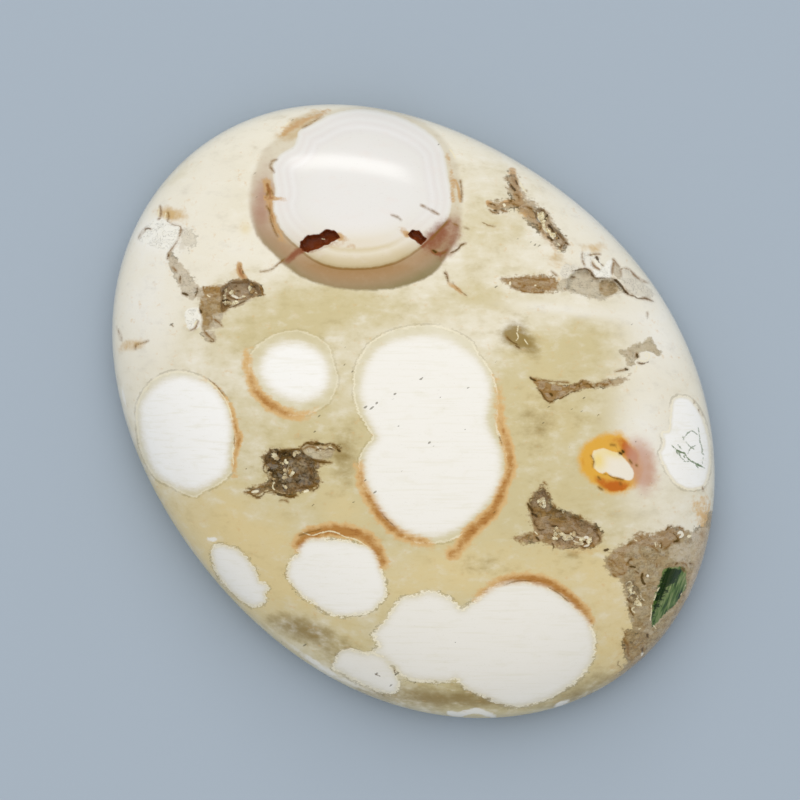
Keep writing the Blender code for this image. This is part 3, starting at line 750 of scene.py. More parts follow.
class CabochonColours(PropertyGroup):
    """The pigments of the jasper and its quartz."""

    ivory: colour("Ivory", "#EFE7D3", "Pale ground of the stone's upper and outer parts")
    khaki: colour("Khaki", "#D3C496", "Greenish yellow ground of the middle")
    gold: colour("Gold", "#E6D09A", "Warmer ground near the lower edges")
    # Also paints the shade along the lower rim
    olive: colour("Olive", "#937A40", "Brown-green smudges")
    # Also paints the sheen spots and the two painted highlights along the edge
    cloud: colour("Cloud", "#F7F3E9", "White clouds in the ground")
    tan: colour("Tan", "#D3AF74", "Iron stain beside veins")
    orb_white: colour("Orb white", "#FDFAF4", "Chalcedony core of the whitest orbs")
    orb_cream: colour("Orb cream", "#F0E9DA", "Warmer core of the lower orbs")
    shell: colour("Orb shell", "#E2DABD", "Clearer layer between an orb's core and its outer line")
    rim: colour("Orb rim", "#FBF1D6", "Chalky line round an orb")
    outline: colour("Orb outline", "#7E6D42", "Thin dark line outside an orb's rim")
    halo: colour("Halo", "#DDB57A", "Pale part of the iron halo round an orb")
    halo_deep: colour("Deep halo", "#B47B38", "Strongest part of the iron halo")
    crown_line: colour("Crown line", "#EADDD4", "Faint pink clouds in the crown orb")
    ring_beige: colour("Ring beige", "#CFC2A6", "Clearer rock round the crown orb")
    ring_pink: colour("Ring pink", "#B5907A", "Pinkish rock beside the crown orb")
    rust_pale: colour("Pale rust", "#C9A06C", "Thin iron stain")
    rust: colour("Rust", "#96592A", "Dense iron stain and rusty cracks")
    iron_red: colour("Iron red", "#8A4A2C", "Red iron stain")
    pit_red: colour("Pit red", "#7E3A16", "Walls and floor of the two red pits")
    orange: colour("Orange", "#E6AC3C", "Yellow-orange half of the orange orb")
    orange_deep: colour("Deep orange", "#C4661F", "Red-orange half of the orange orb")
    orange_white: colour("Orange orb core", "#F3E9D6", "Pale middle of the orange orb")
    quartz_grey: colour("Grey quartz", "#B9A780", "Clear quartz over dark rock")
    quartz_brown: colour("Brown quartz", "#92671A", "Quartz stained by iron")
    quartz_dark: colour("Dark quartz", "#41300B", "Seams and shadowed parts of the quartz")
    # Also paints the glints and the quartz faces painted as lit
    quartz_white: colour("White quartz", "#F8F4E8", "Facets and points of quartz")
    seam: colour("Brown seam", "#8C6325", "Rusty seams between quartz grains")
    # Also paints the cream glints
    cream: colour("Cream quartz", "#F0E3BC", "Quartz faces with a little iron")
    pink: colour("Pink glow", "#CB9A82", "Thin red stain beside the orange orb")
    glow: colour("Yellow glow", "#F3D98A", "Yellow inner edge of the orange orb")
    green: colour("Green", "#4E6A2C", "Fibres of the green inclusion")
    green_dark: colour("Dark green", "#182A12", "Dense part of the green inclusion")
    green_pale: colour("Pale green", "#98A06A", "Palest fibres of the green inclusion")
    fleck: colour("Fleck", "#4F4526", "Dark flecks and cracks")
    floor: colour("Floor", "#A8B4C0", "Plain pale blue-grey floor")


def length(name, description, default, low, high):
    """A property that holds a length in metres."""
    return FloatProperty(name=name, description=description, default=default, min=low, max=high,
                         unit="LENGTH", subtype="DISTANCE")


class CabochonSizes(PropertyGroup):
    """Sizes of the mesh, of the quartz points and of the stage."""

    cells: IntProperty(
        name="Cells", description="Cells of the polished surface from side to side",
        default=200, min=40, max=220)
    point_spacing: length(
        "Quartz spacing", "Mean distance between the quartz points in a hollow", 0.00022, 0.0001, 0.001)
    point_short: length("Shortest point", "Length of the smallest quartz point", 0.00018, 0.0001, 0.001)
    point_long: length("Longest point", "Length of the largest quartz point", 0.00040, 0.0001, 0.001)
    camera_distance: length("Camera distance", "Height of the camera above the girdle", 0.60, 0.1, 5.0)
    floor_side: length("Floor side", "Side of the square floor", 1.6, 0.2, 10.0)


def outline_points(angles):
    """The widest edge of the stone at each angle, as drawn round the ellipse, before it is centred."""
    x = LENGTH / 2 * np.cos(angles)
    y = WIDTH / 2 * np.sin(angles)
    radius = np.hypot(x, y)
    lobes = sum(height * np.cos(count * (angles - start)) for count, height, start in LOBES)
    return np.stack((x, y), axis=-1) * (1 + lobes / radius)[..., None]


def outline_middle():
    """The middle of the outline's own box, which is the origin of the stone."""
    edge = outline_points(2 * np.pi * np.arange(OUTLINE_STEPS) / OUTLINE_STEPS)
    return (edge.min(0) + edge.max(0)) / 2


MIDDLE = outline_middle()


def dome_height(share):
    """Height of the dome at a share of the outline's radius."""
    rise = np.maximum(0.0, 1 - (np.asarray(share) / DOME_SPREAD) ** DOME_POWER)
    return FOOT_HEIGHT + (HEIGHT - FOOT_HEIGHT) * np.sqrt(rise)


def to_view(places):
    """Places on the stone, in metres, as seen in the view from above."""
    shifted = (places[:, :2] + MIDDLE) / MM * VIEW_UNITS_PER_MM
    cos, sin = math.cos(VIEW_TURN), math.sin(VIEW_TURN)
    right = shifted[:, 0] * cos + shifted[:, 1] * sin
    down = shifted[:, 0] * sin - shifted[:, 1] * cos
    return np.stack((right + VIEW_MIDDLE[0], down + VIEW_MIDDLE[1]), axis=-1)


def from_view(point):
    """A point of the view from above in the stone's own frame, in metres."""
    right = (point[0] - VIEW_MIDDLE[0]) / VIEW_UNITS_PER_MM * MM
    down = (point[1] - VIEW_MIDDLE[1]) / VIEW_UNITS_PER_MM * MM
    x = right * math.cos(VIEW_TURN) + down * math.sin(VIEW_TURN)
    y = right * math.sin(VIEW_TURN) - down * math.cos(VIEW_TURN)
    return np.array((x, y)) - MIDDLE


def smooth_line(points, closed, steps=5):
    """More points along a smooth curve through the given ones."""
    points = np.array(points, float)
    if closed:
        padded = np.concatenate((points[-1:], points, points[:2]))
    else:
        padded = np.concatenate((points[:1], points, points[-1:]))
    made = []
    for before, start, end, after in zip(padded, padded[1:], padded[2:], padded[3:]):
        for step in range(steps):
            t = step / steps
            squared = (2 * before - 5 * start + 4 * end - after) * t**2
            cubed = (3 * start - before - 3 * end + after) * t**3
            made.append(0.5 * (2 * start + (end - before) * t + squared + cubed))
    if not closed:
        made.append(points[-1])
    return np.array(made)


def near_box(places, line):
    """Which places lie close enough to a line to be measured."""
    reach = FAR * VIEW_UNITS_PER_MM
    low, high = line.min(0) - reach, line.max(0) + reach
    return np.all((places > low) & (places < high), axis=1)


def segment_gaps(x, y, start, end):
    """How far along a segment it comes nearest to each point, as a share, and that distance squared."""
    along = end - start
    off_x, off_y = x - start[0], y - start[1]
    share = np.clip((off_x * along[0] + off_y * along[1]) / max(along @ along, NO_LENGTH), 0, 1)
    return share, (off_x - share * along[0]) ** 2 + (off_y - share * along[1]) ** 2


def loop_distance(places, outline, steps=5):
    """Distance in mm from each place of the view to a closed outline, below 0 inside it."""
    loop = smooth_line(outline, closed=True, steps=steps)
    found = near_box(places, loop)
    x, y = places[found].T
    best = np.full(len(x), np.inf)
    inside = np.zeros(len(x), bool)
    for start, end in zip(loop, np.roll(loop, -1, axis=0)):
        best = np.minimum(best, segment_gaps(x, y, start, end)[1])
        if start[1] != end[1]:
            crosses = (start[1] > y) != (end[1] > y)
            inside ^= crosses & (x < start[0] + (y - start[1]) * (end[0] - start[0]) / (end[1] - start[1]))
    distance = np.full(len(places), FAR)
    distance[found] = np.minimum(np.sqrt(best) / VIEW_UNITS_PER_MM, FAR) * np.where(inside, -1, 1)
    return distance


def line_distance(places, points, steps=5):
    """For each place: the distance in mm to an open line, and how far along that line it lies."""
    line = smooth_line(points, closed=False, steps=steps)
    found = near_box(places, line)
    x, y = places[found].T
    best = np.full(len(x), np.inf)
    along_line = np.zeros(len(x))
    for index, (start, end) in enumerate(zip(line, line[1:])):
        share, gap = segment_gaps(x, y, start, end)
        closer = gap < best
        best[closer] = gap[closer]
        along_line[closer] = ((index + share) / (len(line) - 1))[closer]
    distance, position = np.full(len(places), FAR), np.zeros(len(places))
    distance[found] = np.minimum(np.sqrt(best) / VIEW_UNITS_PER_MM, FAR)
    position[found] = along_line
    return distance, position


def smooth_step(value, start, end):
    """0 at start and 1 at end, smooth between."""
    share = np.clip((value - start) / (end - start), 0, 1)
    return share * share * (3 - 2 * share)


def spot_weight(places, spots):
    """How strongly each place is tinted by a set of soft spots."""
    clear = np.ones(len(places))
    for spot in spots:
        turn = math.radians(spot.turn)
        off = places - np.array(spot.middle)
        along = (off[:, 0] * math.cos(turn) + off[:, 1] * math.sin(turn)) / spot.radii[0]
        across = (off[:, 1] * math.cos(turn) - off[:, 0] * math.sin(turn)) / spot.radii[1]
        clear *= 1 - np.minimum(1, spot.strength * np.exp(-(along**2 + across**2)))
    return 1 - clear


def stroke_weight(places, strokes):
    """How strongly a set of strokes tints each place: fully along a line, fading to either side of it."""
    weight = np.zeros(len(places))
    for stroke in strokes:
        distance, position = line_distance(places, stroke.line)
        strength = np.interp(position, (0, 0.5, 1), stroke.strengths)
        weight = np.maximum(weight, strength * (1 - smooth_step(distance, 0, STROKE_REACH * stroke.width)))
    return weight


def hollow_marks(places):
    """The nearest hollow: the distance in mm to its rim, below 0 inside, its depth and its redness."""
    edge = np.full(len(places), FAR)
    depth = np.zeros(len(places))
    red = np.zeros(len(places))
    for hollow in HOLLOWS.values():
        distance = loop_distance(places, hollow.rim, 1)
        near = distance < edge
        edge[near] = distance[near]
        depth[near] = hollow.depth
        red[near] = hollow.red
    close = np.abs(edge) < HOLLOW_NEAR
    wander = [noise.noise((x / HOLLOW_WANDER, y / HOLLOW_WANDER, 0.0)) for x, y in places[close]]
    edge[close] += np.array(wander) * HOLLOW_RAGGED
    return edge, depth, red


def orb_marks(places):
    """The markings that the orbs leave: distances to shells and cores, and the strengths of their parts."""
    marks = {"shell": np.full(len(places), FAR), "core": np.full(len(places), FAR)}
    parts = ("tone", "rim", "outline", "fill", "uneven")
    marks.update({part: np.zeros(len(places)) for part in parts})
    for orb in ORBS.values():
        shell = loop_distance(places, orb.shell)
        core = loop_distance(places, orb.core) if orb.core else shell + CORE_INSET
        near = shell < marks["shell"]
        marks["shell"][near] = shell[near]
        marks["core"][near] = (core / orb.soft)[near]
        for part in parts:
            marks[part][near] = getattr(orb, part)
    return marks


def patch_marks(places):
    """The quartz: the distance to the nearest patch, in shares of its softness, and the topmost's tints."""
    parts = ("brown", "pale", "dark", "cover")
    marks = {"quartz": np.full(len(places), FAR)}
    marks.update({"quartz_" + part: np.zeros(len(places)) for part in parts})
    nearest = np.full(len(places), FAR)
    inside = []
    for patch in PATCHES:
        distance = loop_distance(places, patch.outline)
        inside.append((patch, smooth_step(distance, PATCH_BLEND, -PATCH_BLEND)))
        marks["quartz"] = np.minimum(marks["quartz"], distance / patch.soft)
        near = distance < nearest
        nearest[near] = distance[near]
        for part in parts:
            marks["quartz_" + part][near] = getattr(patch, part)
    for patch, weight in inside:
        for part in parts:
            under = marks["quartz_" + part]
            marks["quartz_" + part] = under + (getattr(patch, part) - under) * weight
    return marks


def line_marks(places, sets, name):
    """The nearest line of a table: the distance in mm to its edge, below 0 on it, its tint and strength."""
    edge, tint, strength = (np.full(len(places), value) for value in (FAR, 0.0, 0.0))
    for group in sets:
        for line in group.lines:
            distance, position = line_distance(places, line, 3)
            taper = np.minimum(1, LINE_TAPER * np.minimum(position, 1 - position) + LINE_END)
            distance = distance - group.width * taper
            near = distance < edge
            edge[near] = distance[near]
            tint[near] = group.tint
            strength[near] = group.strength
    return {name: edge, name + "_tint": tint, name + "_strength": strength}


def fleck_marks(places):
    """Distance in mm to the edge of the nearest dark fleck, each a short dash."""
    edge = np.full(len(places), FAR)
    cos, sin = math.cos(FLECK_TURN), math.sin(FLECK_TURN)
    for x, y, half_length in FLECKS:
        right, down = ((places - (x, y)) / VIEW_UNITS_PER_MM).T
        along, across = right * cos - down * sin, right * sin + down * cos
        edge = np.minimum(edge, np.hypot(along, across * FLECK_SHAPE) - half_length)
    return edge


def stone_marks(places, heights):
    """Every marking of the stone as one number at each place."""
    marks = {
        "crown": loop_distance(places, CROWN_BODY),
        "crown_ring": loop_distance(places, CROWN_RING),
        "orange_halo": loop_distance(places, ORANGE_HALO),
        "orange_core": loop_distance(places, ORANGE_CORE),
        "green": loop_distance(places, GREEN_BLADE),
        "green_dark": loop_distance(places, GREEN_DARK),
        "fleck": fleck_marks(places),
    }
    marks.update(orb_marks(places))
    marks.update(patch_marks(places))
    marks.update(line_marks(places, CRACKS_AND_SHADE, "crack"))
    marks.update(line_marks(places, GLINTS, "glint"))
    close_off = np.maximum(0, FADE_HEIGHT - heights / MM) * FADE_GAIN
    for name in ("crown", "crown_ring", "orange_halo", "orange_core", "green", "green_dark", "fleck", "shell",
                 "core", "quartz", "crack", "glint"):
        marks[name] = marks[name] + close_off
    top = smooth_step(heights / MM, FADE_END, FADE_HEIGHT)
    for name, spots in SPOTS.items():
        at_back = BACK_WEIGHTS.get(name, 0.0)
        marks[name] = at_back + (spot_weight(places, spots) - at_back) * top
    for name, strokes in (("halo", HALOS), ("rust", RUSTS), ("red", REDS), ("chip", CHIPS_AND_HIGHLIGHTS)):
        marks[name] = stroke_weight(places, strokes) * top
    return marks


def rounded_corner(before, corner, after):
    """Three points that round a corner of the side, in shares and heights."""
    def step(towards):
        across = (towards[0] - corner[0]) * LENGTH / 2
        up = towards[1] - corner[1]
        share = EDGE_ROUNDING / math.hypot(across, up)
        return (corner[0] + (towards[0] - corner[0]) * share, corner[1] + up * share)
    first, last = step(before), step(after)
    middle = tuple((first[i] + last[i] + 2 * corner[i]) / 4 for i in (0, 1))
    return [first, middle, last]


def side_profile():
    """The side from the dome's end down over the shoulder, the girdle and the back's bevel."""
    top = (DOME_END_SHARE, float(dome_height(DOME_END_SHARE)))
    close = 1e-4
    fall = (float(dome_height(DOME_END_SHARE + close)) - top[1]) / close
    bend = (GIRDLE[0], top[1] + fall * (GIRDLE[0] - DOME_END_SHARE))
    profile = []
    for ring in range(1, SHOULDER_RINGS + 1):
        t = ring / (SHOULDER_RINGS + SHOULDER_GAP)
        profile.append(tuple(
            (1 - t) ** 2 * top[i] + 2 * t * (1 - t) * bend[i] + t**2 * GIRDLE[i] for i in (0, 1)))
    profile += rounded_corner(bend, GIRDLE, BEVEL_TOP)
    profile += rounded_corner(GIRDLE, BEVEL_TOP, BACK_EDGE)
    profile += rounded_corner(BEVEL_TOP, BACK_EDGE, BACK_INSIDE)
    return profile


def disc_places(a, b):
    """Places on the dome and their angles, for coordinates from -1 to 1: a square drawn out to the oval."""
    radius = np.maximum(np.abs(a), np.abs(b))
    wide = np.abs(a) >= np.abs(b)
    with np.errstate(divide="ignore", invalid="ignore"):
        beside = np.pi / 4 * b / a + np.pi * (a < 0)
        above = np.pi / 2 - np.pi / 4 * a / b + np.pi * (b < 0)
    angle = np.where(radius == 0, 0, np.where(wide, beside, above))
    share = radius * DOME_END_SHARE
    flat = outline_points(angle) * share[..., None] - MIDDLE
    return np.concatenate((flat, dome_height(share)[..., None]), axis=-1), angle


def fine_cells(cells):
    """Which cells of the dome are cut finer: those near a fine line, a fleck or a hollow's rim."""
    middles = (np.arange(cells) + 0.5) / cells * 2 - 1
    places, _ = disc_places(*np.meshgrid(middles, middles, indexing="ij"))
    view = to_view(places.reshape(-1, 3))
    near = np.minimum(line_marks(view, CRACKS_AND_SHADE, "line")["line"], line_marks(view, GLINTS, "line")["line"])
    near = np.minimum(near, np.minimum(fleck_marks(view), np.abs(hollow_marks(view)[0])))
    fine = (near < FINE_REACH).reshape(cells, cells)
    fine[[0, -1]] = False
    fine[:, [0, -1]] = False
    return fine


def cell_faces(number, row, column, fine):
    """The faces of one cell: a block of small ones, or one that takes in its finer neighbours' points."""
    top, left = row * FINE_CUTS, column * FINE_CUTS
    bottom, right = top + FINE_CUTS, left + FINE_CUTS
    if fine:
        block = number[top:bottom + 1, left:right + 1]
        corners = (block[:-1, :-1], block[1:, :-1], block[1:, 1:], block[:-1, 1:])
        return np.stack(corners, axis=-1).reshape(-1, 4).tolist()
    ring = np.concatenate((number[top:bottom, left], number[bottom, left:right], number[bottom:top:-1, right],
                           number[top, right:left:-1]))
    return [ring[ring >= 0].tolist()]


def stone_mesh(cells):
    """The stone's vertices and faces: a disc of cells over the dome, rings down the side and a flat back."""
    fine = fine_cells(cells)
    used = np.zeros((cells * FINE_CUTS + 1,) * 2, bool)
    used[::FINE_CUTS, ::FINE_CUTS] = True
    for row, column in np.argwhere(fine) * FINE_CUTS:
        used[row:row + FINE_CUTS + 1, column:column + FINE_CUTS + 1] = True
    steps = np.linspace(-1, 1, len(used))
    a, b = (grid[used] for grid in np.meshgrid(steps, steps, indexing="ij"))
    top, angle = disc_places(a, b)
    number = np.full(used.shape, -1)
    number[used] = np.arange(len(top))
    faces = []
    for row, column in np.ndindex(cells, cells):
        faces += cell_faces(number, row, column, fine[row, column])
    spokes = 4 * cells
    on_edge = np.flatnonzero(np.maximum(np.abs(a), np.abs(b)) == 1)
    order = np.argsort(np.round(angle[on_edge] % (2 * np.pi) / (2 * np.pi) * spokes) % spokes)
    upper = on_edge[order]
    around = outline_points(2 * np.pi * np.arange(spokes) / spokes)
    points = [top]
    count = len(top)
    for ring_share, height in side_profile():
        ring = np.concatenate((around * ring_share - MIDDLE, np.full((spokes, 1), height)), axis=1)
        lower = count + np.arange(spokes)
        points.append(ring)
        faces += np.stack((lower, np.roll(lower, -1), np.roll(upper, -1), upper), axis=-1).tolist()
        upper = lower
        count += spokes
    places = np.concatenate(points)
    own_low, own_high = places[:, :2].min(0), places[:, :2].max(0)
    cad_low, cad_high = np.array(STONE_LOW)[:2], np.array(STONE_HIGH)[:2]
    scale = (cad_high - cad_low) * INSIDE_BOX / (own_high - own_low)
    places[:, :2] = (places[:, :2] - (own_low + own_high) / 2) * scale + (cad_low + cad_high) / 2
    return places, faces + [upper[::-1].tolist()]


def press_hollows(places, edge, depth):
    """Lowers the surface inside the hollows, with steep walls and a floor of angular quartz lumps."""
    inside = edge < 0
    lump = np.array([noise.cell(Vector(place) / LUMP_SIZE) - 0.5 for place in places[inside]])
    drop = smooth_step(-edge[inside], 0, HOLLOW_WALL)
    places[inside, 2] -= drop * (depth[inside] * MM + 2 * lump * LUMP_RELIEF)


def add(tree, kind, settings=None, inputs=None, output=0):
    """Adds a node with its settings and its inputs (values or other nodes' outputs), and gives one output."""
    node = tree.nodes.new(kind)
    for name, value in (settings or {}).items():
        if name == "stops":
            ramp = node.color_ramp
            while len(ramp.elements) < len(value):
                ramp.elements.new(1.0)
            for element, (position, shade) in zip(ramp.elements, value):
                element.position = position
                element.color = (*shade, 1.0)
        else:
            setattr(node, name, value)
    for socket, value in (inputs or {}).items():
        if isinstance(value, bpy.types.NodeSocket):
            tree.links.new(value, node.inputs[socket])
        else:
            node.inputs[socket].default_value = value
    return None if output is None else node.outputs[output]


# Sockets of the colour Mix node, which has others of the same names
MIX_FACTOR, MIX_A, MIX_B, MIX_RESULT = 0, 6, 7, 2

PAINT_SOCKETS = (
    ("Under", "NodeSocketColor", None), ("Over", "NodeSocketColor", None),
    ("Distance", "NodeSocketFloat", None), ("From", "NodeSocketFloat", 0.0), ("To", "NodeSocketFloat", 1.0),
    ("Strength", "NodeSocketFloat", 1.0),
)
BAND_CORE = 0.4  # the share of a line's half width that has its full colour


def paint_group(name):
    """A new node group that will paint one colour over another, and the outputs of its input node."""
    tree = bpy.data.node_groups.new(name, "ShaderNodeTree")
    for label, kind, default in PAINT_SOCKETS:
        made = tree.interface.new_socket(name=label, in_out="INPUT", socket_type=kind)
        if default is not None:
            made.default_value = default
    tree.interface.new_socket(name="Colour", in_out="OUTPUT", socket_type="NodeSocketColor")
    return tree, tree.nodes.new("NodeGroupInput").outputs


def lay_over(tree, given, cover):
    """Ends a paint group: the colour Over lies on the colour Under by the cover and the strength."""
    cover = add(tree, "ShaderNodeMath", {"operation": "MULTIPLY", "use_clamp": True},
                {0: cover, 1: given["Strength"]})
    mixed = add(tree, "ShaderNodeMix", {"data_type": "RGBA"},
                {MIX_FACTOR: cover, MIX_A: given["Under"], MIX_B: given["Over"]}, MIX_RESULT)
    add(tree, "NodeGroupOutput", None, {"Colour": mixed}, None)


def fill_group():
    """Paints one colour over another where a distance passes from one value to the next."""
    tree, given = paint_group("Fill")
    cover = add(tree, "ShaderNodeMapRange", {"interpolation_type": "SMOOTHSTEP"},
                {"Value": given["Distance"], "From Min": given["From"], "From Max": given["To"]})
    lay_over(tree, given, cover)


def band_group():
    """Paints a line of one colour over another: From is its middle and To its half width, with soft edges."""
    tree, given = paint_group("Band")
    off = add(tree, "ShaderNodeMath", {"operation": "SUBTRACT"}, {0: given["Distance"], 1: given["From"]})
    off = add(tree, "ShaderNodeMath", {"operation": "ABSOLUTE"}, {0: off})
    inner = add(tree, "ShaderNodeMath", {"operation": "MULTIPLY"}, {0: given["To"], 1: BAND_CORE})
    cover = add(tree, "ShaderNodeMapRange", {"interpolation_type": "SMOOTHSTEP"},
                {"Value": off, "From Min": given["To"], "From Max": inner})
    lay_over(tree, given, cover)


# The markings that the stone's mesh carries, as one number at each of its points
MARK_NAMES = (
    "shell", "core", "tone", "rim", "outline", "fill", "uneven", "crown", "crown_ring", "orange_halo",
    "orange_core", "green", "green_dark", "fleck", "quartz", "quartz_brown", "quartz_pale", "quartz_dark",
    "quartz_cover", "crack", "crack_tint", "crack_strength", "glint", "glint_tint", "glint_strength", "halo",
    "rust", "red", "chip", "hollow", "hollow_red", *SPOTS,
)

# Noises in the stone: features per mm, stretch along the view's right and up, detail, roughness and shift
Noise = namedtuple("Noise", "scale right up detail roughness shift")

NOISES = {
    "clouds": Noise(0.30, 1.0, 1.0, 4, 0.55, 0),
    "mottle": Noise(1.10, 0.8, 1.4, 4, 0.60, 3),
    "ragged": Noise(2.20, 1.0, 1.0, 4, 0.65, 0),
    "spiky": Noise(2.60, 0.5, 2.0, 4, 0.70, 7),
    "broken": Noise(1.30, 1.0, 1.0, 2, 0.50, 11),
    "curls": Noise(2.40, 0.8, 1.2, 3, 0.60, 19),
    "frayed": Noise(5.50, 1.0, 1.0, 3, 0.60, 23),
    "streak": Noise(1.00, 0.3, 6.0, 3, 0.60, 0),
    "grain": Noise(12.0, 0.7, 1.2, 2, 0.50, 0),
}

# How noise shifts a marking's edge: the field, the noise, and how far, as a number or another field
UNEVEN = (
    ("khaki", "clouds", 0.9), ("khaki", "mottle", 0.6), ("gold", "clouds", 0.9), ("gold", "mottle", 0.5),
    ("cloud", "clouds", 0.6), ("cloud", "mottle", 0.7), ("olive", "mottle", 1.0), ("olive", "ragged", 0.4),
    ("tan", "mottle", 0.6), ("tan", "ragged", 0.6), ("shell", "spiky", "uneven"),
    ("shell", "frayed", "uneven"), ("core", "spiky", 1.5), ("crown", "ragged", 0.12),
    ("crown_ring", "ragged", 0.25), ("orange_halo", "ragged", 0.6), ("orange_core", "ragged", 0.15),
    ("quartz", "spiky", 4.2), ("quartz", "ragged", 3.0), ("quartz", "frayed", 3.6), ("green", "frayed", 0.3),
    ("green_dark", "spiky", 1.0), ("fleck", "grain", 0.25), ("crack", "ragged", 0.12),
    ("crack", "grain", 0.11), ("glint", "grain", 0.10), ("glint", "ragged", 0.08), ("pink", "mottle", 0.5),
    ("orange_red", "ragged", 0.7), ("halo", "ragged", 1.1), ("halo", "spiky", 0.5), ("rust", "ragged", 0.8),
    ("red", "ragged", 0.6), ("chip", "ragged", 0.6), ("blush", "mottle", 0.5), ("ring_low", "ragged", 0.3),
    ("quartz_brown", "mottle", 1.0), ("quartz_brown", "spiky", 0.6), ("quartz_dark", "curls", 1.0),
    ("quartz_dark", "frayed", 1.2),
)

BALL_SPACING = 7.5  # mm between the orbs in the stone's depth
BALL_RADIUS = 2.3
BALL_CORE = 0.35  # mm from such an orb's outer line to its white
BALL_TOP = 0.45  # height in mm above which the drawn orbs take over
FACET_SCALE = (3.2, 4.2, 1.5)  # quartz faces per mm along the view's right, its up and in depth
FACET_WARP = 0.30  # how far noise bends the faces' edges, in mm
FACET_WARP_SCALE = 1.8  # bends per mm
FACET_WARP_DETAIL = 2.0
FACET_FOLD = 0.13  # how soon the faces' chance numbers run back, so that bright and dull ones mix: painted shading of faces that catch the light and faces that don't
FACET_GAIN = 7.0

# Strengths worked out from a field: the new name, the field, from, to, and what it is multiplied by
MASKS = (
    ("outline_broken", "broken", -0.16, 0.06, "outline"),
    ("rim_broken", "broken", 0.22, -0.06, "rim"),
    ("rim_clear", "halo", 0.70, 0.30, "rim_broken"),
    ("halo_strong", "halo", 0.80, 1.10, 0.7),
    ("in_orb", "core", 0.5, -1.5, 0.22),
    ("in_crown", "crown", 0.0, -0.3, 0.30),
    ("seam_cover", "ring_low", 0.1, 1.0, 0.60),
    ("in_quartz", "quartz", 0.0, -1.0, 1.0),
    ("facet_cover", "quartz", 0.0, -1.0, 0.13),
    ("edge_broken", "broken", -0.04, 0.14, "quartz_brown"),
    ("dark_cover", "quartz_dark", 0.0, 1.0, 1.0),
    ("rusty", "shell", -0.3, 0.3, 0.6),
    ("fringe", "broken", -0.15, 0.10, "rusty"),
    ("curl_cover", "quartz", -0.3, -1.2, 0.30),
    ("pale_cover", "quartz", -0.3, -1.2, 0.15),
    ("grain_cover", "quartz", 0.0, -1.0, 0.09),
    ("in_orange", "orange_halo", 0.1, -0.3, "orange_red"),
    ("greenness", "crack_tint", 0.0, -1.0, 1.0),
)


def stone_fields(tree):
    """The numbers that the stone's paint reads: each marking made uneven by noise, and the noises."""
    fields = {name: add(tree, "ShaderNodeAttribute", {"attribute_name": name}, None, "Fac")
              for name in MARK_NAMES}
    place = add(tree, "ShaderNodeTexCoord", None, None, "Object")
    mm = add(tree, "ShaderNodeVectorMath", {"operation": "SCALE"}, {0: place, "Scale": 1 / MM})
    turned = add(tree, "ShaderNodeMapping", None, {"Vector": mm, "Rotation": (0, 0, -VIEW_TURN)})
    for name, found in NOISES.items():
        where = add(tree, "ShaderNodeMapping", None, {
            "Vector": turned, "Location": (found.shift, found.shift, 0),
            "Scale": (found.scale * found.right, found.scale * found.up, found.scale)})
        value = add(tree, "ShaderNodeTexNoise", None, {
            "Vector": where, "Scale": 1.0, "Detail": found.detail, "Roughness": found.roughness}, "Fac")
        fields[name] = add(tree, "ShaderNodeMath", {"operation": "SUBTRACT"}, {0: value, 1: 0.5})

    height = add(tree, "ShaderNodeSeparateXYZ", None, {0: mm}, "Z")
    ball = add(tree, "ShaderNodeTexVoronoi", None, {"Vector": mm, "Scale": 1 / BALL_SPACING}, "Distance")
    ball = add(tree, "ShaderNodeMath", {"operation": "MULTIPLY_ADD"},
               {0: ball, 1: BALL_SPACING, 2: -BALL_RADIUS})
    above = add(tree, "ShaderNodeMapRange", {"clamp": True}, {
        "Value": height, "From Min": BALL_TOP, "From Max": BALL_TOP + 1, "To Min": 0, "To Max": FADE_GAIN})
    ball = add(tree, "ShaderNodeMath", {"operation": "ADD"}, {0: ball, 1: above})
    fields["shell"] = add(tree, "ShaderNodeMath", {"operation": "MINIMUM"}, {0: fields["shell"], 1: ball})
    ball = add(tree, "ShaderNodeMath", {"operation": "ADD"}, {0: ball, 1: BALL_CORE})
    ball = add(tree, "ShaderNodeMath", {"operation": "MULTIPLY"}, {0: ball, 1: 1 / BALL_CORE})
    fields["core"] = add(tree, "ShaderNodeMath", {"operation": "MINIMUM"}, {0: fields["core"], 1: ball})
    for name, noise_name, amount in UNEVEN:
        far = fields[amount] if isinstance(amount, str) else amount
        fields[name] = add(tree, "ShaderNodeMath", {"operation": "MULTIPLY_ADD"},
                           {0: fields[noise_name], 1: far, 2: fields[name]})

    bent = add(tree, "ShaderNodeTexNoise", None,
               {"Vector": turned, "Scale": FACET_WARP_SCALE, "Detail": FACET_WARP_DETAIL}, "Color")
    bent = add(tree, "ShaderNodeVectorMath", {"operation": "MULTIPLY_ADD"},
               {0: bent, 1: (FACET_WARP,) * 3, 2: turned})
    bent = add(tree, "ShaderNodeVectorMath", {"operation": "MULTIPLY"}, {0: bent, 1: FACET_SCALE})
    face = add(tree, "ShaderNodeTexVoronoi", None, {"Vector": bent, "Scale": 1.0}, "Color")
    face = add(tree, "ShaderNodeSeparateColor", None, {0: face}, "Red")
    # Painted shading of the quartz faces, which also raises them a little as bump
    shade = add(tree, "ShaderNodeMath", {"operation": "PINGPONG"}, {0: face, 1: FACET_FOLD})
    fields["shade"] = add(tree, "ShaderNodeMath", {"operation": "MULTIPLY"}, {0: shade, 1: FACET_GAIN})
    fields["face"] = face
    fields["turned"] = turned
    for name, field, start, end, times in MASKS:
        mask = add(tree, "ShaderNodeMapRange", None,
                   {"Value": fields[field], "From Min": start, "From Max": end})
        fields[name] = add(tree, "ShaderNodeMath", {"operation": "MULTIPLY"},
                           {0: mask, 1: fields[times] if isinstance(times, str) else times})
    return fields


# Colours that change along a field: the field, its two ends, and the stops
Ramp = namedtuple("Ramp", "field start end stops")

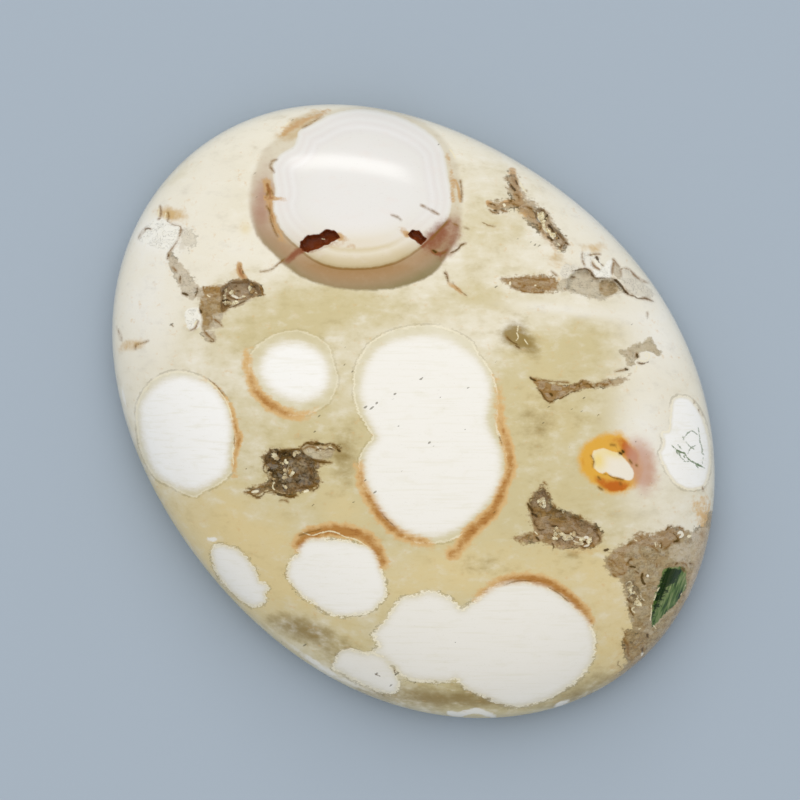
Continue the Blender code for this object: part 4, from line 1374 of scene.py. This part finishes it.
RAMPS = {
    "crown_body": Ramp("crown", -2.6, 0.0, (
        (0.00, "#EAE6E0"), (0.38, "#E9E5DE"), (0.48, "#E7E2DC"), (0.56, "#EBE7E2"), (0.66, "#E6E0DA"),
        (0.74, "#EAE6E0"), (0.83, "#E7E1DA"), (0.92, "#EAE6DF"), (1.00, "#E0D9C9"),
    )),
    "crown_base": Ramp("crown", -2.6, 0.0, (
        (0.00, "#F0E8E0"), (0.20, "#EBE2D2"), (0.36, "#E6DAC2"), (0.50, "#E6DBC6"), (0.58, "#DBCBA8"),
        (0.68, "#E6DBC3"), (0.80, "#D9C9A8"), (0.92, "#CDBB95"), (1.00, "#B79F72"),
    )),
    "ring_bands": Ramp("crown", 0.0, 1.7, (
        (0.00, "#8F7348"), (0.08, "#A98457"), (0.30, "#AC8A62"), (0.55, "#A68C68"), (0.80, "#93835C"),
        (0.97, "#8B7C55"), (1.00, "#B3A683"),
    )),
}

# A layer of paint: what it is, which kind, its colour, the field it follows, two distances, and its strength
Layer = namedtuple("Layer", "name kind colour field start end strength")

LAYERS = (
    Layer("khaki ground", "Fill", "khaki", "khaki", 0.10, 0.90, 1.0),
    Layer("golden ground", "Fill", "gold", "gold", 0.10, 0.95, 0.9),
    # White clouds, and painted sheen at the upper left and round the edge orb
    Layer("white clouds", "Fill", "cloud", "cloud", 0.15, 0.85, 0.9),
    # Olive smudges, and painted shade along the lower rim
    Layer("olive smudges", "Fill", "olive", "olive", 0.15, 1.00, 0.9),
    Layer("tan stain", "Fill", "tan", "tan", 0.25, 0.90, 0.9),
    Layer("darker mottle", "Fill", "olive", "mottle", 0.00, 0.30, 0.16),
    Layer("paler mottle", "Fill", "cloud", "mottle", -0.02, -0.28, 0.25),
    # Paints the pale chips and rims, and the two painted highlights along the edge
    Layer("pale chips", "Fill", "cloud", "chip", 0.35, 0.70, 0.9),
    Layer("orb outline", "Band", "outline", "shell", 0.07, 0.07, "outline_broken"),
    Layer("orb shell", "Fill", "shell", "shell", 0.04, -0.04, "fill"),
    Layer("pale halo", "Fill", "halo", "halo", 0.08, 0.50, 0.95),
    Layer("deep halo", "Fill", "halo_deep", "halo", 0.42, 1.00, 0.9),
    Layer("halo streaks", "Fill", "rust", "spiky", 0.00, 0.20, "halo_strong"),
    Layer("orb core, cream", "Fill", "orb_cream", "core", 0.9, -0.9, 1.0),
    Layer("orb core, white", "Fill", "orb_white", "core", 0.4, -1.6, "tone"),
    Layer("orb streaks", "Fill", "shell", "streak", 0.00, 0.22, "in_orb"),
    Layer("orb blotches", "Fill", "shell", "mottle", 0.02, 0.28, "in_orb"),
    Layer("orb rim", "Band", "rim", "shell", -0.04, 0.07, "rim_clear"),
    Layer("crown ring", "Fill", "ring_beige", "crown_ring", 0.08, -0.30, 0.55),
    Layer("crown ring blush", "Fill", "ring_pink", "crown_ring", 0.15, -0.30, "blush"),
    Layer("crown ring brown", "Fill", "ring_bands", "crown_ring", 0.06, -0.14, "ring_low"),
    Layer("crown body", "Fill", "crown_body", "crown", 0.03, -0.08, 1.0),
    Layer("crown base", "Fill", "crown_base", "crown", 0.07, -0.04, "crown_low"),
    Layer("crown seam", "Band", "seam", "crown", 0.03, 0.10, "seam_cover"),
    Layer("crown streaks", "Fill", "crown_line", "mottle", 0.02, 0.28, "in_crown"),
    Layer("pale rust", "Fill", "rust_pale", "rust", 0.20, 0.60, 0.9),
    Layer("deep rust", "Fill", "rust", "rust", 0.60, 1.00, 0.8),
    Layer("red stain", "Fill", "iron_red", "red", 0.30, 0.90, 0.85),
    Layer("orange halo", "Fill", "orange", "orange_halo", 0.22, -0.26, 0.95),
    Layer("deep orange", "Fill", "orange_deep", "in_orange", 0.2, 0.9, 0.95),
    Layer("pink glow", "Fill", "pink", "pink", 0.15, 0.90, 0.8),
    Layer("orange core", "Fill", "orange_white", "orange_core", 0.04, -0.08, 1.0),
    Layer("yellow glow", "Fill", "glow", "orange_core", 0.02, -0.04, "glow"),
    Layer("quartz", "Fill", "quartz", "quartz", 0.9, -0.9, "quartz_cover"),
    Layer("dark quartz", "Fill", "quartz_dark", "dark_cover", 0.0, 1.0, "in_quartz"),
    Layer("quartz edge", "Band", "fleck", "quartz", -0.2, 0.6, "edge_broken"),
    Layer("red pits", "Fill", "pit_red", "hollow", 0.02, -0.05, "hollow_red"),
    # Painted shading: some quartz faces paler, as if lit
    Layer("quartz faces", "Fill", "quartz_face_shading", "face", 0.45, 0.41, "facet_cover"),
    Layer("quartz grains", "Fill", "quartz_dark", "grain", 0.02, 0.25, "grain_cover"),
    Layer("dark curls", "Band", "quartz_dark", "curls", 0.03, 0.022, "curl_cover"),
    Layer("pale curls", "Band", "cream", "spiky", -0.06, 0.030, "pale_cover"),
    Layer("green blade", "Fill", "green_fibres", "green", 0.03, -0.05, 1.0),
    Layer("dark green", "Fill", "green_dark", "green_dark", 0.03, -0.12, 0.9),
    Layer("grain", "Fill", "outline", "grain", 0.12, 0.34, 0.17),
    Layer("brown fringe", "Fill", "seam", "crack", 0.14, -0.02, "fringe"),
    # Painted glints: bright quartz faces, partly their own white and partly painted highlights
    Layer("glints", "Fill", "glint", "glint", 0.015, -0.025, "glint_strength"),
    # Cracks, and painted shade along the hollows' rims and in the druzy crevices
    Layer("cracks", "Fill", "crack", "crack", 0.025, -0.03, "crack_strength"),
    Layer("flecks", "Fill", "fleck", "fleck", 0.02, -0.03, 0.65),
)

# Paints mixed from two others: the new name, the field that mixes them, and the two
MIXES = (
    ("quartz", "quartz_brown", "quartz_grey", "quartz_brown"),
    ("quartz", "quartz_pale", "quartz", "quartz_white"),
    # Painted shading of the quartz faces: white where a face is to look lit, the quartz's own colour
    # elsewhere
    ("quartz_face_shading", "shade", "quartz_white", "quartz"),
    ("crack", "crack_tint", "quartz_dark", "seam"),
    ("crack", "greenness", "crack", "green"),
    ("glint", "glint_tint", "quartz_white", "cream"),
)

FIBRE_TURN = math.radians(72)  # the way the green fibres run, from the view's right
FIBRES_PER_MM = 7.0
FIBRE_DETAIL = 3.0
FIBRE_STOPS = ((0.32, "green_dark"), (0.46, "green"), (0.70, "green_pale"))


def stone_paints(tree, fields, colours):
    """The colours that the layers lay down: the plain pigments and the ones that vary."""
    paints = dict(colours)
    for name, field, none, full in MIXES:
        paints[name] = add(tree, "ShaderNodeMix", {"data_type": "RGBA"},
                           {MIX_FACTOR: fields[field], MIX_A: paints[none], MIX_B: paints[full]}, MIX_RESULT)
    for name, ramp in RAMPS.items():
        along = add(tree, "ShaderNodeMapRange", None,
                    {"Value": fields[ramp.field], "From Min": ramp.start, "From Max": ramp.end})
        stops = [(position, linear(shade)) for position, shade in ramp.stops]
        paints[name] = add(tree, "ShaderNodeValToRGB", {"stops": stops}, {"Fac": along}, "Color")
    along = add(tree, "ShaderNodeMapping", {"vector_type": "TEXTURE"}, {
        "Vector": fields["turned"], "Rotation": (0, 0, FIBRE_TURN), "Scale": (1.0, 1 / FIBRES_PER_MM, 1.0)})
    fibre = add(tree, "ShaderNodeTexNoise", None,
                {"Vector": along, "Scale": 1.0, "Detail": FIBRE_DETAIL}, "Fac")
    stops = [(position, colours[name][:3]) for position, name in FIBRE_STOPS]
    paints["green_fibres"] = add(tree, "ShaderNodeValToRGB", {"stops": stops}, {"Fac": fibre}, "Color")
    return paints


def empty_material(name):
    """A new material and its node tree, still without nodes."""
    material = bpy.data.materials.new(name)
    material.use_nodes = True
    material.node_tree.nodes.clear()
    return material, material.node_tree


QUARTZ_IOR = 1.54
POLISH_ROUGHNESS = 0.15
HOLLOW_ROUGHNESS = 0.40
HOLLOW_DULL = -0.1  # mm inside a hollow's rim, where its full roughness is reached
FACET_BUMP = 0.30
FACET_RELIEF = 0.00004


def stone_material(colours):
    """Orbicular jasper, ground and polished: a dense chalcedony under a glassy skin.

    The polish gives small sharp highlights, and the open hollows stay duller.
    """
    material, tree = empty_material("polished_orbicular_jasper")
    fields = stone_fields(tree)
    paints = stone_paints(tree, fields, colours)
    painted = colours["ivory"]
    for layer in LAYERS:
        strength = fields[layer.strength] if isinstance(layer.strength, str) else layer.strength
        settings = {"node_tree": bpy.data.node_groups[layer.kind], "label": layer.name}
        painted = add(tree, "ShaderNodeGroup", settings,
                      {"Under": painted, "Over": paints[layer.colour], "Distance": fields[layer.field],
                       "From": layer.start, "To": layer.end, "Strength": strength})

    rough = add(tree, "ShaderNodeMapRange", None, {
        "Value": fields["hollow"], "From Min": 0.0, "From Max": HOLLOW_DULL,
        "To Min": POLISH_ROUGHNESS, "To Max": HOLLOW_ROUGHNESS})
    relief = add(tree, "ShaderNodeMath", {"operation": "MULTIPLY"},
                 {0: fields["shade"], 1: fields["in_quartz"]})
    bump = add(tree, "ShaderNodeBump", None,
               {"Strength": FACET_BUMP, "Distance": FACET_RELIEF, "Height": relief}, "Normal")
    shader = add(tree, "ShaderNodeBsdfPrincipled", None,
                 {"Base Color": painted, "Roughness": rough, "IOR": QUARTZ_IOR, "Normal": bump}, "BSDF")
    add(tree, "ShaderNodeOutputMaterial", None, {"Surface": shader}, None)
    return material


CRYSTAL_ROUGHNESS = 0.2
CRYSTAL_SCATTER = 0.2
SCATTER_RADIUS = (1.0, 0.9, 0.8)  # of the depth, for red, green and blue light
SCATTER_DEPTH = 0.0003
GLINT_REACH = 0.12  # how far from a bright face quartz points stand, in mm


def crystal_material(colours):
    """Druzy quartz, grown and never polished: clear to milky points that glint on their flat faces."""
    material, tree = empty_material("druzy_quartz_points")
    brown = add(tree, "ShaderNodeAttribute", {"attribute_name": "quartz_brown"}, None, "Fac")
    white = add(tree, "ShaderNodeAttribute", {"attribute_name": "glint"}, None, "Fac")
    white = add(tree, "ShaderNodeMapRange", None, {"Value": white, "From Min": GLINT_REACH, "From Max": 0.0})
    tint = add(tree, "ShaderNodeMix", {"data_type": "RGBA"},
               {MIX_FACTOR: brown, MIX_A: colours["quartz_grey"], MIX_B: colours["quartz_brown"]}, MIX_RESULT)
    tint = add(tree, "ShaderNodeMix", {"data_type": "RGBA"},
               {MIX_FACTOR: white, MIX_A: tint, MIX_B: colours["cream"]}, MIX_RESULT)
    shader = add(tree, "ShaderNodeBsdfPrincipled", None,
                 {"Base Color": tint, "Roughness": CRYSTAL_ROUGHNESS, "IOR": QUARTZ_IOR,
                  "Subsurface Weight": CRYSTAL_SCATTER, "Subsurface Radius": SCATTER_RADIUS,
                  "Subsurface Scale": SCATTER_DEPTH}, "BSDF")
    add(tree, "ShaderNodeOutputMaterial", None, {"Surface": shader}, None)
    return material


def colour_values(scene):
    """The pigments as four-part colours by name."""
    chosen = scene.cabochon_colours
    return {name: (*getattr(chosen, name), 1.0) for name in CabochonColours.__annotations__}


def set_fields(mesh, names, fields):
    """Writes the named fields into a mesh, one number at each point."""
    for name in names:
        attribute = mesh.attributes.new(name, "FLOAT", "POINT")
        attribute.data.foreach_set("value", fields[name].astype(np.float32))


def new_object(name, mesh):
    """A new object in the scene."""
    made = bpy.data.objects.new(name, mesh)
    bpy.context.scene.collection.objects.link(made)
    return made


class CABOCHON_OT_stone(Operator):
    """Make the polished stone with its markings and open hollows"""

    bl_idname = "cabochon.stone"
    bl_label = "Make Stone"

    def execute(self, context):
        places, faces = stone_mesh(context.scene.cabochon_sizes.cells)
        view = to_view(places)
        marks = stone_marks(view, places[:, 2])
        edge, depth, red = hollow_marks(view)
        press_hollows(places, edge, depth)
        marks["hollow"] = edge + np.maximum(0, FADE_HEIGHT - places[:, 2] / MM) * FADE_GAIN
        marks["hollow_red"] = red
        mesh = bpy.data.meshes.new("jasper_stone")
        mesh.from_pydata(places.tolist(), [], faces)
        set_fields(mesh, MARK_NAMES, marks)
        mesh.shade_smooth()
        fill_group()
        band_group()
        mesh.materials.append(stone_material(colour_values(context.scene)))
        stone = new_object("jasper_stone", mesh)
        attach(stone, "root")
        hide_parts("cabochon")
        return {"FINISHED"}


CRYSTAL_SIDES = 6
CRYSTAL_RADIUS = 0.33  # of a point one unit long
CRYSTAL_SHOULDER = 0.65  # where its six faces start to meet in a tip
CRYSTAL_ROOT = 0.35  # how much of it stands in the floor
CRYSTAL_TILT = 1.1  # radians either way
CRYSTAL_SEED = 7
CRYSTAL_MARKS = ("quartz_brown", "glint")  # what tints a point, read from the stone where it stands
CRYSTAL_INSET = 0.6  # the share of a hollow's wall that its points keep clear of


def crystal_tree(material):
    """Geometry nodes that stand quartz points on a hollow's floor."""
    tree = bpy.data.node_groups.new("Quartz Points", "GeometryNodeTree")
    tree.interface.new_socket(name="Geometry", in_out="INPUT", socket_type="NodeSocketGeometry")
    for label in ("Spacing", "Shortest", "Longest"):
        tree.interface.new_socket(name=label, in_out="INPUT", socket_type="NodeSocketFloat")
    tree.interface.new_socket(name="Seed", in_out="INPUT", socket_type="NodeSocketInt")
    tree.interface.new_socket(name="Geometry", in_out="OUTPUT", socket_type="NodeSocketGeometry")
    given = tree.nodes.new("NodeGroupInput").outputs
    foot = add(tree, "GeometryNodeMeshCircle", None, {"Vertices": CRYSTAL_SIDES, "Radius": CRYSTAL_RADIUS})
    foot = add(tree, "GeometryNodeTransform", None, {"Geometry": foot, "Translation": (0, 0, -CRYSTAL_ROOT)})
    shoulder = add(tree, "GeometryNodeTransform", None,
                   {"Geometry": foot, "Translation": (0, 0, CRYSTAL_SHOULDER)})
    tip = add(tree, "GeometryNodeMeshLine", None, {"Count": 1, "Start Location": (0, 0, 1 - CRYSTAL_ROOT)})
    corners = tree.nodes.new("GeometryNodeJoinGeometry")
    for part in (foot, shoulder, tip):
        tree.links.new(part, corners.inputs[0])
    point = add(tree, "GeometryNodeConvexHull", None, {0: corners.outputs[0]})
    density = add(tree, "ShaderNodeMath", {"operation": "POWER"}, {0: given["Spacing"], 1: -2.0})
    scattered = tree.nodes.new("GeometryNodeDistributePointsOnFaces")
    tree.links.new(given["Geometry"], scattered.inputs["Mesh"])
    tree.links.new(density, scattered.inputs["Density"])
    tree.links.new(given["Seed"], scattered.inputs["Seed"])
    lean = add(tree, "FunctionNodeRandomValue", {"data_type": "FLOAT_VECTOR"},
               {0: (-CRYSTAL_TILT, -CRYSTAL_TILT, 0), 1: (CRYSTAL_TILT, CRYSTAL_TILT, math.tau), "Seed": 1})
    lean = add(tree, "FunctionNodeEulerToRotation", None, {0: lean})
    turn = add(tree, "FunctionNodeRotateRotation", {"rotation_space": "LOCAL"},
               {0: scattered.outputs["Rotation"], 1: lean})
    length = tree.nodes.new("FunctionNodeRandomValue")
    tree.links.new(given["Shortest"], length.inputs[2])
    tree.links.new(given["Longest"], length.inputs[3])
    placed = add(tree, "GeometryNodeInstanceOnPoints", None,
                 {"Points": scattered.outputs["Points"], "Instance": point, "Rotation": turn,
                  "Scale": length.outputs[1]})
    real = add(tree, "GeometryNodeRealizeInstances", None, {0: placed})
    done = add(tree, "GeometryNodeSetMaterial", None, {"Geometry": real, "Material": material})
    add(tree, "NodeGroupOutput", None, {0: done}, None)
    return tree


class CABOCHON_OT_crystals(Operator):
    """Stand quartz points on the floors of the open hollows"""

    bl_idname = "cabochon.crystals"
    bl_label = "Make Quartz Points"

    def execute(self, context):
        sizes = context.scene.cabochon_sizes
        stone = bpy.data.objects["jasper_stone"].data
        count = len(stone.vertices)
        places = np.empty(count * 3, np.float32)
        stone.vertices.foreach_get("co", places)
        marks = {name: np.empty(count, np.float32) for name in ("hollow", "hollow_red", *CRYSTAL_MARKS)}
        for name, values in marks.items():
            stone.attributes[name].data.foreach_get("value", values)
        floor = ((marks["hollow"] < -HOLLOW_WALL * CRYSTAL_INSET) & (marks["hollow_red"] == 0)
                 & (marks["glint"] < GLINT_REACH))
        faces = [tuple(face.vertices) for face in stone.polygons
                 if len(face.vertices) == 4 and all(floor[v] for v in face.vertices)]
        used = sorted({vertex for face in faces for vertex in face})
        place_of = {vertex: index for index, vertex in enumerate(used)}
        mesh = bpy.data.meshes.new("hollow_floors")
        mesh.from_pydata(places.reshape(-1, 3)[used].tolist(), [],
                         [[place_of[vertex] for vertex in face] for face in faces])
        set_fields(mesh, CRYSTAL_MARKS, {name: values[used] for name, values in marks.items()})
        grown = new_object("hollow_floors", mesh)
        tree = crystal_tree(crystal_material(colour_values(context.scene)))
        modifier = grown.modifiers.new("Quartz Points", "NODES")
        modifier.node_group = tree
        chosen = {"Spacing": sizes.point_spacing, "Shortest": sizes.point_short, "Longest": sizes.point_long,
                  "Seed": CRYSTAL_SEED}
        for item in tree.interface.items_tree:
            if item.in_out == "INPUT" and item.name in chosen:
                modifier[item.identifier] = chosen[item.name]
        graph = context.evaluated_depsgraph_get()
        points = bpy.data.meshes.new_from_object(grown.evaluated_get(graph))
        bpy.data.objects.remove(grown)
        points.name = "quartz_points"
        crystals = new_object("quartz_points", points)
        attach(crystals, "root")
        return {"FINISHED"}


HIGHLIGHT_PLACE = (342, 161)  # where the window's reflection lies on the dome, in the view from above
WINDOW_DISTANCE = 0.40
WINDOW_SIZE = (0.20, 0.06)
WINDOW_POWER = 0.145
WINDOW_TINT = "#FFFFFF"
SOFTBOX_PLACE = (0.0, 0.36, 0.78)  # right, up and above, in the view from above
SOFTBOX_SIZE = (1.0, 1.0)
SOFTBOX_POWER = 3.45
SOFTBOX_TINT = "#FFFCF6"
WORLD_STRENGTH = 0.77
WORLD_TINT = "#F1F4F8"
FLOOR_ROUGHNESS = 0.7


def share_at(place):
    """How far a point seen from above lies from the middle, as a share of the outline there."""
    drawn = np.array(place) + MIDDLE
    angle = np.array(math.atan2(drawn[1] / WIDTH, drawn[0] / LENGTH))
    return float(np.hypot(*drawn) / np.hypot(*outline_points(angle)))


def dome_normal(place):
    """The dome's outward normal over a point of the stone seen from above."""
    step = 1e-5
    slopes = []
    for axis in (0, 1):
        low, high = np.array(place, float), np.array(place, float)
        low[axis] -= step
        high[axis] += step
        slopes.append((dome_height(share_at(high)) - dome_height(share_at(low))) / (2 * step))
    return Vector((-slopes[0], -slopes[1], 1)).normalized()


def area_light(name, place, target, size, power, tint):
    """A rectangular light that shines from one place towards another."""
    light = bpy.data.lights.new(name, "AREA")
    light.shape = "RECTANGLE"
    light.size, light.size_y = size
    light.energy = power
    light.color = linear(tint)
    lamp = new_object(name, light)
    lamp.location = place
    lamp.rotation_mode = "QUATERNION"
    lamp.rotation_quaternion = (Vector(target) - Vector(place)).to_track_quat("-Z", "Y")
    return lamp


def view_direction(right, up):
    """A direction of the view from above as a horizontal direction of the stone's own frame."""
    cos, sin = math.cos(VIEW_TURN), math.sin(VIEW_TURN)
    return Vector((right * cos - up * sin, right * sin + up * cos, 0))


def make_floor(paint, side):
    """A square, matt floor under the stone."""
    far = side / 2
    mesh = bpy.data.meshes.new("floor")
    mesh.from_pydata([(-far, -far, 0), (far, -far, 0), (far, far, 0), (-far, far, 0)], [], [(0, 1, 2, 3)])
    material = bpy.data.materials.new("matt_painted_floor")
    material.use_nodes = True
    shader = material.node_tree.nodes["Principled BSDF"]
    shader.inputs["Base Color"].default_value = paint
    shader.inputs["Roughness"].default_value = FLOOR_ROUGHNESS
    mesh.materials.append(material)
    new_object("floor", mesh)


def make_lights():
    """A small window that the crown orb mirrors, and a large soft box that leaves no reflection."""
    spot = from_view(HIGHLIGHT_PLACE)
    on_dome = Vector((*spot, dome_height(share_at(spot))))
    normal = dome_normal(spot)
    down = Vector((0, 0, -1))
    mirrored = down - 2 * down.dot(normal) * normal
    place = on_dome + mirrored * WINDOW_DISTANCE
    area_light("window_light", place, on_dome, WINDOW_SIZE, WINDOW_POWER, WINDOW_TINT)
    right, up, above = SOFTBOX_PLACE
    place = view_direction(right, up) + Vector((0, 0, above))
    softbox = area_light("softbox", place, (0, 0, 0), SOFTBOX_SIZE, SOFTBOX_POWER, SOFTBOX_TINT)
    softbox.visible_glossy = False


def make_world(scene):
    """Even light from all round, which the polish doesn't mirror."""
    world = bpy.data.worlds.new("soft_fill")
    world.use_nodes = True
    background = world.node_tree.nodes["Background"]
    background.inputs["Color"].default_value = (*linear(WORLD_TINT), 1.0)
    background.inputs["Strength"].default_value = WORLD_STRENGTH
    scene.world = world
    world.cycles_visibility.glossy = False
    scene.view_settings.view_transform = "Standard"


def make_camera(scene, distance):
    """The camera straight above the stone, turned so that its picture is the view from above."""
    camera = bpy.data.cameras.new("camera_above")
    view_width = VIEW_SIDE / VIEW_UNITS_PER_MM * MM
    camera.lens = camera.sensor_width * distance / view_width
    camera.clip_start, camera.clip_end = distance / 20, distance * 10
    above_stone = new_object("camera_above", camera)
    middle = from_view((VIEW_SIDE / 2, VIEW_SIDE / 2))
    above_stone.location = (*middle, GIRDLE[1] + distance)
    above_stone.rotation_euler = (0, 0, VIEW_TURN)
    scene.camera = above_stone


class CABOCHON_OT_stage(Operator):
    """Make the floor, the soft studio light and the camera above the stone"""

    bl_idname = "cabochon.stage"
    bl_label = "Make Stage"

    def execute(self, context):
        scene = context.scene
        sizes = scene.cabochon_sizes
        make_floor(colour_values(scene)["floor"], sizes.floor_side)
        make_lights()
        make_world(scene)
        make_camera(scene, sizes.camera_distance)
        return {"FINISHED"}


class CABOCHON_PT_panel(Panel):
    """Lists the stone's pieces in the sidebar"""

    bl_idname = "CABOCHON_PT_panel"
    bl_label = "Cabochon"
    bl_space_type = "VIEW_3D"
    bl_region_type = "UI"
    bl_category = "Cabochon"

    def draw(self, context):
        column = self.layout.column()
        for operator in OPERATORS:
            column.operator(operator.bl_idname)
        for group in (context.scene.cabochon_sizes, context.scene.cabochon_colours):
            for name in group.__annotations__:
                column.prop(group, name)


OPERATORS = (CABOCHON_OT_stone, CABOCHON_OT_crystals, CABOCHON_OT_stage)
CLASSES = (CabochonColours, CabochonSizes, *OPERATORS, CABOCHON_PT_panel)


def register():
    for cls in CLASSES:
        bpy.utils.register_class(cls)
    bpy.types.Scene.cabochon_colours = PointerProperty(type=CabochonColours)
    bpy.types.Scene.cabochon_sizes = PointerProperty(type=CabochonSizes)


def unregister():
    del bpy.types.Scene.cabochon_sizes
    del bpy.types.Scene.cabochon_colours
    for cls in reversed(CLASSES):
        bpy.utils.unregister_class(cls)


def main():
    """Makes the whole scene."""
    register()
    for name in [o.name for o in bpy.data.objects if o.type in ("LIGHT", "CAMERA")]:
        bpy.data.objects.remove(bpy.data.objects[name])
    bpy.ops.cabochon.stone()
    bpy.ops.cabochon.crystals()
    bpy.ops.cabochon.stage()


if __name__ == "__main__":
    main()
